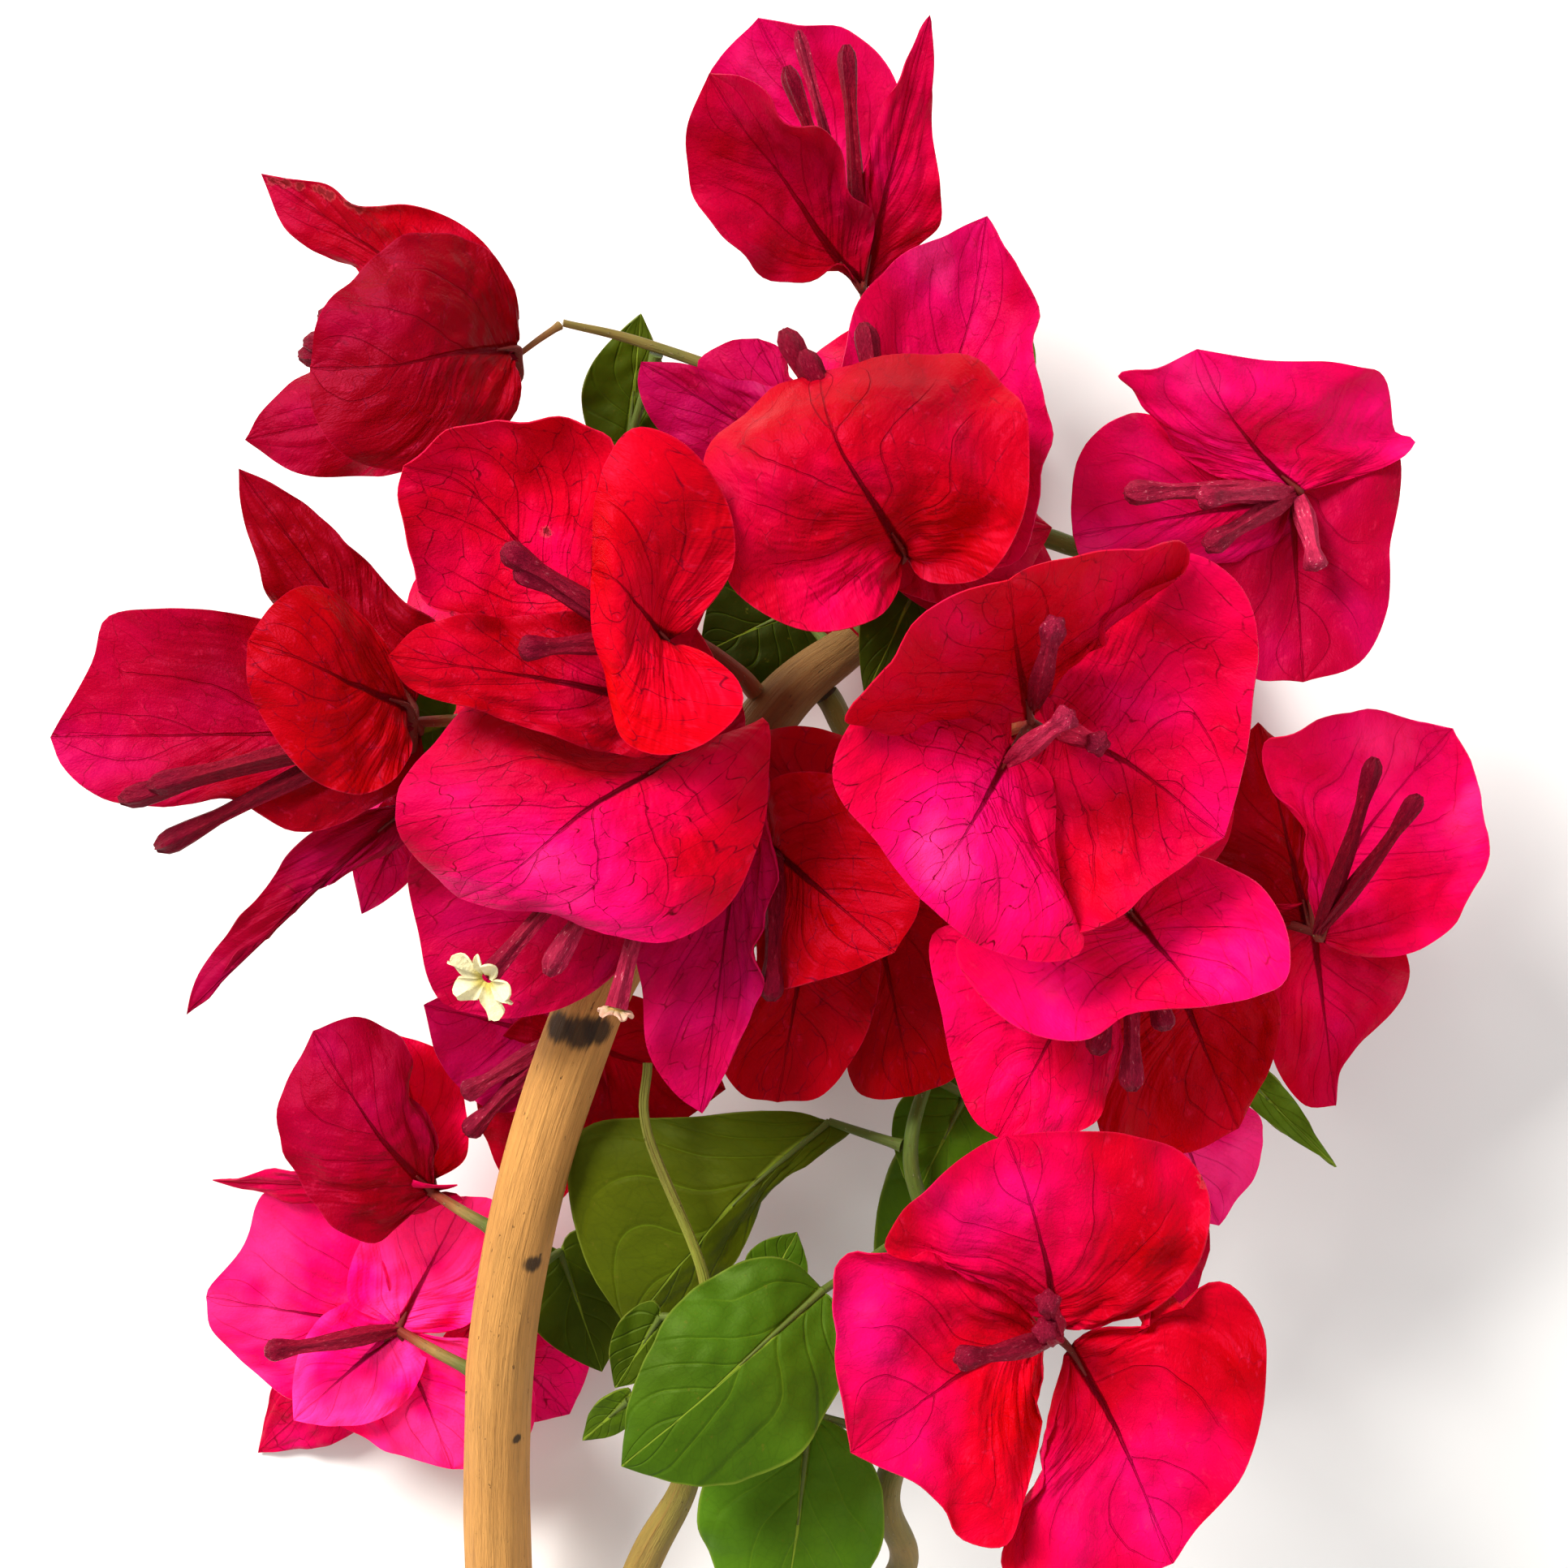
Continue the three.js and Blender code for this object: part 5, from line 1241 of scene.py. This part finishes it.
def star_material():
    """Cream or pink, and darker in the middle"""
    paint = Paint("star_petal")
    u, _, _ = paint.parts(paint.kept("place", 1))
    grain = paint.noise(paint.kept("flat", 1), *STAR_GRAIN)
    pale = paint.mix(paint.step(u, 0.05, 0.5), *STAR_PALE)
    pink = paint.mix(paint.step(u, 0.4, 1.0), *STAR_PINK)
    colour = paint.dimmed(paint.mix(paint.kept("hue"), pink, pale), 0.85 + grain * 0.3)
    return paint.finish(colour, 0.5 + grain * 0.1, paint.bump(grain, 0.0003), 0.3, (1, 1, 1),
                        STAR_THROUGH, 0.2)


def bark_material():
    """Smooth tan bark with fibres, streaks, specks and dark ring scars, painted shade towards its top
    end, and wood at the cut end
    """
    paint = Paint("tan_bark")
    flat = paint.kept("flat", 1)
    along, ring, _ = paint.parts(paint.kept("place", 1))
    fibres = paint.noise(paint.stretched(flat, (1, 1, 0.05)), *BARK_FIBRES)
    threads = paint.noise(paint.stretched(flat, (1, 1, 0.03)), *BARK_THREADS)
    cloud = paint.noise(flat, *BARK_CLOUD)
    hue = paint.kept("hue") + (cloud - 0.5) * 0.2
    stops = [(0, tuple(settings().bark_colour)), *BARK_HUES]
    colour = paint.add("ShaderNodeValToRGB", {"stops": stops}, {0: hue})
    colour = paint.dimmed(colour, 0.55 + fibres * 0.9)
    colour = paint.mix(paint.step(threads, 0.56, 0.7) * 0.55, colour, BARK_THREAD)
    streaks = paint.noise(paint.stretched(flat, (0.55, 0.55, 0.018)), *BARK_STREAKS)
    colour = paint.mix(paint.step(streaks, 0.56, 0.7) * 0.5, colour, BARK_STREAK)
    specks = paint.noise(paint.stretched(flat, (1, 1, 0.4)), *BARK_SPECKS)
    specks = paint.step(specks, 0.66, 0.72)
    colour = paint.mix(specks * 0.75, colour, BARK_SPECK)
    # painted shade: a woody limb darkens towards its top end, where it runs in under the blooms
    colour = paint.mix(paint.step(along, 0.74, 0.92) * 0.55, colour, BARK_TOP_SHADE)
    object_place = paint.add("ShaderNodeTexCoord", output=3)
    for x, y, z, size in RING_SCARS:
        centre = tuple(float(value) for value in seen([x, y, z]) * MM)
        away = paint.add("ShaderNodeVectorMath", {"operation": "DISTANCE"},
                         {0: object_place, 1: centre}, output=1) / (size * MM)
        away = away + (fibres - 0.5) * 1.2
        colour = paint.mix(paint.step(away, 1.3, 0.7) * 0.92, colour, BARK_SCAR)
    end = paint.kept("scar") > 0.02
    circles = paint.add("ShaderNodeMath", {"operation": "SINE"}, {0: ring * CUT_RINGS}) * 0.5 + 0.5
    colour = paint.mix(end, colour, paint.mix(circles * 0.5 + cloud * 0.3, *CUT_WOOD))
    height = fibres * 0.8 + threads * 0.5 + specks * -0.6 + circles * end * 0.3
    return paint.finish(colour, 0.5 + fibres * 0.25, paint.bump(height, 0.0006), 0.25, BARK_GLOSS)


def green_stem_material():
    """From dark red through tan to green, with pale specks"""
    paint = Paint("twig_skin")
    flat = paint.kept("flat", 1)
    fibres = paint.noise(paint.stretched(flat, (1, 1, 0.1)), *TWIG_FIBRES)
    hue = paint.kept("hue") + (paint.noise(flat, *TWIG_CLOUD) - 0.5) * 0.4
    colour = paint.add("ShaderNodeValToRGB", {"stops": TWIG_HUES}, {0: hue})
    colour = paint.dimmed(colour, 0.6 + fibres * 0.8)
    specks = paint.noise(paint.stretched(flat, (1, 1, 0.5)), *TWIG_SPECKS)
    specks = paint.step(specks, 0.63, 0.7)
    colour = paint.mix(specks * 0.4, colour, TWIG_SPECK)
    height = fibres * 0.6 + specks * 0.5
    return paint.finish(colour, 0.45 + fibres * 0.2, paint.bump(height, 0.0003), 0.3, BARK_GLOSS)


def finish_named(name, make):
    """The material of that name, made the first time it is asked for"""
    return bpy.data.materials.get(name) or make()


def dress(piece, material, slot, *nodes):
    """Gives a finished piece its material, where it has none yet, its body and the nodes it stands for"""
    if material:
        piece.data.materials.clear()
        piece.data.materials.append(material)
    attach(piece, "root")
    if nodes:
        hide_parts(*nodes)


class BRANCH_OT_stems(bpy.types.Operator):
    """Sweep the stems and twigs, with bark in relief"""
    bl_idname = "branch.stems"
    bl_label = "Stems and twigs"

    def execute(self, context):
        bark, green = bark_material(), finish_named("twig_skin", green_stem_material)
        for name, stem in STEMS.items():
            woody = name in BARK_NODES
            sides, depth = WOODY if woody else GREEN
            shares = np.linspace(0, 1, LIMB_RINGS.get(name, OTHER_RINGS) + 1)
            relief = bark_relief(name, depth)
            piece = sweep(f"bark_{name}", *limb_at(LIMBS[name], shares), sides, stem["tint"], relief)
            piece = gather([piece], f"bark_{name}")
            dress(piece, bark if woody else green, "bark" if woody else "green_stem", name)
        return {"FINISHED"}


class BRANCH_OT_bracts(bpy.types.Operator):
    """Shape the papery bracts of each bloom"""
    bl_idname = "branch.bracts"
    bl_label = "Bracts"

    def execute(self, context):
        options = settings()
        crimson = bract_material("papery_crimson", CRIMSON_THROUGH)
        pink = bract_material("papery_pink", PINK_THROUGH)
        for name, bloom in BLOOMS.items():
            sheets = [make_blade(f"bract_{name}_{k}", shape, options.puff, options.wave)
                      for k, shape in enumerate(bloom["bracts"])]
            for piece, shape in zip(sheets, bloom["bracts"]):
                piece.data.materials.append(pink if sum(shape["hue"]) > 1.1 else crimson)
            piece = gather(sheets, f"bracts_{name}", options.bract_thickness)
            dress(piece, None, "bract", f"bloom_{name}")
        return {"FINISHED"}


class BRANCH_OT_stalks(bpy.types.Operator):
    """Lead a stalk from each bloom to its twig, and a rib into each bract"""
    bl_idname = "branch.stalks"
    bl_label = "Stalks of the blooms"

    def execute(self, context):
        pieces = []
        for name, bloom in BLOOMS.items():
            centre = seen(bloom["centre"])
            foot = foot_on(LIMBS[bloom["carrier"]], centre)
            radius, tint = bloom["stalk"]
            pieces.append(stalk_between(f"stalk_{name}", foot, centre, radius, STALK_BOW, tint))
            for k, shape in enumerate(bloom["bracts"]):
                (reach,), _, _ = blade_lines(shape, np.array([RIB_REACH]))
                base = seen(shape["base"])
                path = outline_curve([centre, base, reach], np.linspace(0, 1, RIB_RINGS + 1))
                radii = STALK_RADIUS * STALK_TAPER * np.linspace(1, RIB_TAPER, RIB_RINGS + 1)
                pieces.append(sweep(f"rib_{name}_{k}", path, radii, STALK_SIDES, RIB_TINT))
        piece = gather(pieces, "stalks")
        dress(piece, finish_named("twig_skin", green_stem_material), "green_stem")
        return {"FINISHED"}


def inner_shapes(rows, hue, light):
    """The shapes of the smaller blades that grow below the blooms"""
    for name, share, length, headings in rows:
        bloom = BLOOMS[name]
        centre = seen(bloom["centre"])
        foot = foot_on(LIMBS[bloom["carrier"]], centre)
        base = foot + (centre - foot) * share
        for heading in headings:
            turn = math.radians(heading)
            tip = base + length * np.array([math.cos(turn), math.sin(turn), -INNER_DROOP])
            ends = [(*shown_at(place), place[2] + ORIGIN[2]) for place in (base, tip)]
            half = length * INNER_HALF
            yield blade(*ends, half=(half, half), hue=hue, light=light, **INNER_LOOKS)


class BRANCH_OT_inner(bpy.types.Operator):
    """Add the smaller bracts and leaves below the blooms, which fill the sides and the underside"""
    bl_idname = "branch.inner"
    bl_label = "Inner bracts and leaves"

    def execute(self, context):
        options = settings()
        papery = bract_material("papery_inner", INNER_THROUGH)
        green = finish_named("leaf_blade", leaf_material)
        groups = (("bracts_inner", INNER_BRACTS, (0.35, 0.6), 0.75, options.bract_thickness, papery,
                   "bract", 1),
                  ("leaves_inner", INNER_LEAVES, (0.7, 0.8), 0.8, options.leaf_thickness, green,
                   "leaf", LEAF_FOLDS))
        for name, rows, hue, light, thickness, finish, slot, folds in groups:
            puff, wave = options.puff * folds, options.wave * folds
            sheets = [make_blade(f"{name}_{k}", dict(shape, folds=folds), puff, wave)
                      for k, shape in enumerate(inner_shapes(rows, hue, light))]
            dress(gather(sheets, name, thickness), finish, slot)
        return {"FINISHED"}


def tube_path(centre, head):
    """Three points of a tube's slight bow"""
    top = seen(head)
    middle = (centre + top) / 2
    middle[2] += TUBE_BOW * np.linalg.norm(top - centre)
    return [centre, middle, top]


class BRANCH_OT_flowers(bpy.types.Operator):
    """Raise the slim ribbed flower tubes, in bud or open"""
    bl_idname = "branch.flowers"
    bl_label = "Flower tubes"

    def execute(self, context):
        pieces = []
        for name, bloom in BLOOMS.items():
            for k, flower in enumerate(bloom["flowers"]):
                profile = np.array(OPEN_PROFILE if "star" in flower else BUD_PROFILE)
                shares = np.linspace(0, 1, TUBE_RINGS + 1)
                foot = seen(flower.get("foot", bloom["centre"]))
                path = limb_curve(tube_path(foot, flower["head"]), shares)
                radii = np.interp(shares, profile[:, 0], profile[:, 1]) * flower.get("girth", 1)
                tint = np.broadcast_to(flower.get("tint", TUBE_TINT), 2)
                tube_name = f"tube_{name}_{k}"
                turn = random.Random(tube_name).uniform(0, math.tau)

                def ribs(angle, along, turn=turn):
                    return TUBE_RIBS * np.cos(5 * angle + turn + along * TUBE_TWIST)
                pieces.append(sweep(tube_name, path, radii, TUBE_SIDES, tint, ribs))
        piece = gather(pieces, "flower_tubes")
        dress(piece, tube_material(), "bract")
        return {"FINISHED"}


def make_star(name, centre, flower):
    """The five notched and folded lobes at the mouth of an open flower"""
    top, radius = seen(flower["head"]), flower["star"]
    rng = random.Random(name)
    axis = unit(unit(top - centre) * STAR_LEAN + np.array([0, 0, flower.get("up", STAR_UP)]))
    side = unit(np.cross(axis, [0.2, 1, 0.1]))
    up = np.cross(axis, side)
    rows, columns = STAR_GRID
    u = np.linspace(0, 1, rows + 1)[:, None]
    angle = np.linspace(0, math.tau, columns + 1)[None, :]
    lobe = np.abs(np.cos(2.5 * angle))
    notch = np.exp(-((1 - lobe) / 0.02) ** 2)
    reach = radius * (0.5 + 0.5 * lobe**0.7 - 0.14 * notch)
    out = STAR_MOUTH + (reach - STAR_MOUTH) * u
    fold = 0.1 * np.cos(5 * angle) + 0.07 * np.cos(10 * angle) + 0.06 * np.cos(angle + rng.uniform(0, 6))
    rise = radius * (0.22 * np.sqrt(u) + 0.05 * u**2 + fold * u)
    turned = angle + rng.uniform(0, 1)
    places = (top + side * (out * np.cos(turned))[..., None] + up * (out * np.sin(turned))[..., None]
              + axis * rise[..., None])
    piece, row, column = new_grid(name, rows, columns)
    place_points(piece, places[row, column])
    flat = np.stack([out * np.cos(angle), out * np.sin(angle), rise], -1)
    keep_values(piece, "flat", flat[row, column])
    keep_values(piece, "place", np.stack([u + 0 * angle, 0 * out, 0 * out], -1)[row, column])
    keep_values(piece, "hue", np.full(len(row), flower["pale"]))
    return piece


class BRANCH_OT_stars(bpy.types.Operator):
    """Open the five-lobed stars at the mouths of the open flowers"""
    bl_idname = "branch.stars"
    bl_label = "Open flowers"

    def execute(self, context):
        pieces = [make_star(f"star_{name}_{k}", seen(bloom["centre"]), flower)
                  for name, bloom in BLOOMS.items()
                  for k, flower in enumerate(bloom["flowers"]) if "star" in flower]
        piece = gather(pieces, "stars", settings().star_thickness)
        dress(piece, star_material(), "bract")
        return {"FINISHED"}


class BRANCH_OT_leaves(bpy.types.Operator):
    """Shape each leaf with its stalk"""
    bl_idname = "branch.leaves"
    bl_label = "Leaves"

    def execute(self, context):
        options = settings()
        green = finish_named("leaf_blade", leaf_material)
        skin = finish_named("twig_skin", green_stem_material)
        for name, leaf in LEAVES.items():
            shape = dict(leaf, folds=LEAF_FOLDS)
            puff, wave = options.puff * LEAF_FOLDS, options.wave * LEAF_WAVE
            sheet = gather([make_blade(f"blade_{name}", shape, puff, wave)], f"leafblade_{name}",
                           options.leaf_thickness)
            base = seen(leaf["base"])
            foot = foot_on(LIMBS[leaf["carrier"]], base, leaf.get("at"))
            stalk = stalk_between(f"leafstalk_{name}", foot, base, **LEAF_STALK)
            rib_path, _, _ = blade_lines(leaf, np.linspace(0, LEAF_RIB_REACH, LEAF_RIB_RINGS + 1))
            rib_radii = np.linspace(*LEAF_RIB_RADII, LEAF_RIB_RINGS + 1)
            rib = sweep(f"leafrib_{name}", rib_path, rib_radii, LEAF_RIB_SIDES, LEAF_STALK["tint"])
            sheet.data.materials.append(green)
            for part in (stalk, rib):
                part.data.materials.append(skin)
            piece = gather([sheet, stalk, rib], f"leaf_green_{name}")
            dress(piece, None, "leaf", f"leaf_{name}")
        return {"FINISHED"}


def direction(place, aim):
    """The turn that points a light from its place to its aim"""
    x, y, z = (a - b for a, b in zip(place, aim))
    return (math.atan2(math.hypot(x, y), z), 0, math.atan2(x, -y))


class BRANCH_OT_stage(bpy.types.Operator):
    """Set the floor, the lights and the camera"""
    bl_idname = "branch.stage"
    bl_label = "Floor, lights and camera"

    def execute(self, context):
        bpy.ops.object.select_all(action="DESELECT")
        bpy.ops.mesh.primitive_plane_add(size=FLOOR_SIZE, location=(0, 0, 0))
        floor = context.object
        floor.name = "floor"
        paint = Paint("floor")
        place = paint.add("ShaderNodeTexCoord", output=3)
        cloud = paint.noise(place, 6, 4)
        colour = paint.mix(cloud, tuple(settings().floor_colour), FLOOR_PALE)
        grain = paint.bump(cloud, 0.0002)
        floor.data.materials.append(paint.finish(colour, 0.8 + cloud * 0.1, grain, 0.1))

        for name, place, aim, power, size, colour in LIGHTS:
            bpy.ops.object.light_add(type="AREA", location=place)
            light = context.object
            light.name = name
            light.data.energy = power
            light.data.size = size
            light.data.color = colour
            light.rotation_euler = direction(place, aim)

        context.scene.world = context.scene.world or bpy.data.worlds.new("world")
        world = context.scene.world
        world.use_nodes = True
        backdrop = world.node_tree.nodes["Background"]
        backdrop.inputs["Color"].default_value = WORLD_COLOUR
        backdrop.inputs["Strength"].default_value = WORLD_STRENGTH

        eye = (np.array([0, 0, VIEW_DISTANCE + MIDDLE_LEVEL]) - ORIGIN) * MM
        bpy.ops.object.camera_add(location=tuple(eye), rotation=(0, 0, 0))
        camera = context.object
        camera.data.sensor_width = SENSOR_WIDTH
        camera.data.lens = SENSOR_WIDTH / 2 * VIEW_DISTANCE / HALF_WIDTH_SEEN
        camera.data.clip_start = 0.01
        context.scene.camera = camera
        context.scene.view_settings.view_transform = "Standard"
        return {"FINISHED"}


class BRANCH_PT_panel(bpy.types.Panel):
    """Lists the steps that dress the branch"""
    bl_idname = "BRANCH_PT_panel"
    bl_label = "Branch"
    bl_space_type = "VIEW_3D"
    bl_region_type = "UI"
    bl_category = "Branch"

    def draw(self, context):
        for name in BranchSettings.__annotations__:
            self.layout.prop(context.scene.branch_settings, name)
        for step in STEPS:
            self.layout.operator(step.bl_idname)


STEPS = (BRANCH_OT_stems, BRANCH_OT_bracts, BRANCH_OT_stalks, BRANCH_OT_inner, BRANCH_OT_flowers,
         BRANCH_OT_stars, BRANCH_OT_leaves, BRANCH_OT_stage)


def register():
    for kind in (BranchSettings, *STEPS, BRANCH_PT_panel):
        bpy.utils.register_class(kind)
    bpy.types.Scene.branch_settings = bpy.props.PointerProperty(type=BranchSettings)


def unregister():
    del bpy.types.Scene.branch_settings
    for kind in (BRANCH_PT_panel, *reversed(STEPS), BranchSettings):
        bpy.utils.unregister_class(kind)


def main():
    register()
    bpy.ops.branch.stems()
    bpy.ops.branch.bracts()
    bpy.ops.branch.stalks()
    bpy.ops.branch.inner()
    bpy.ops.branch.flowers()
    bpy.ops.branch.stars()
    bpy.ops.branch.leaves()
    bpy.ops.branch.stage()


if __name__ == "__main__":
    main()
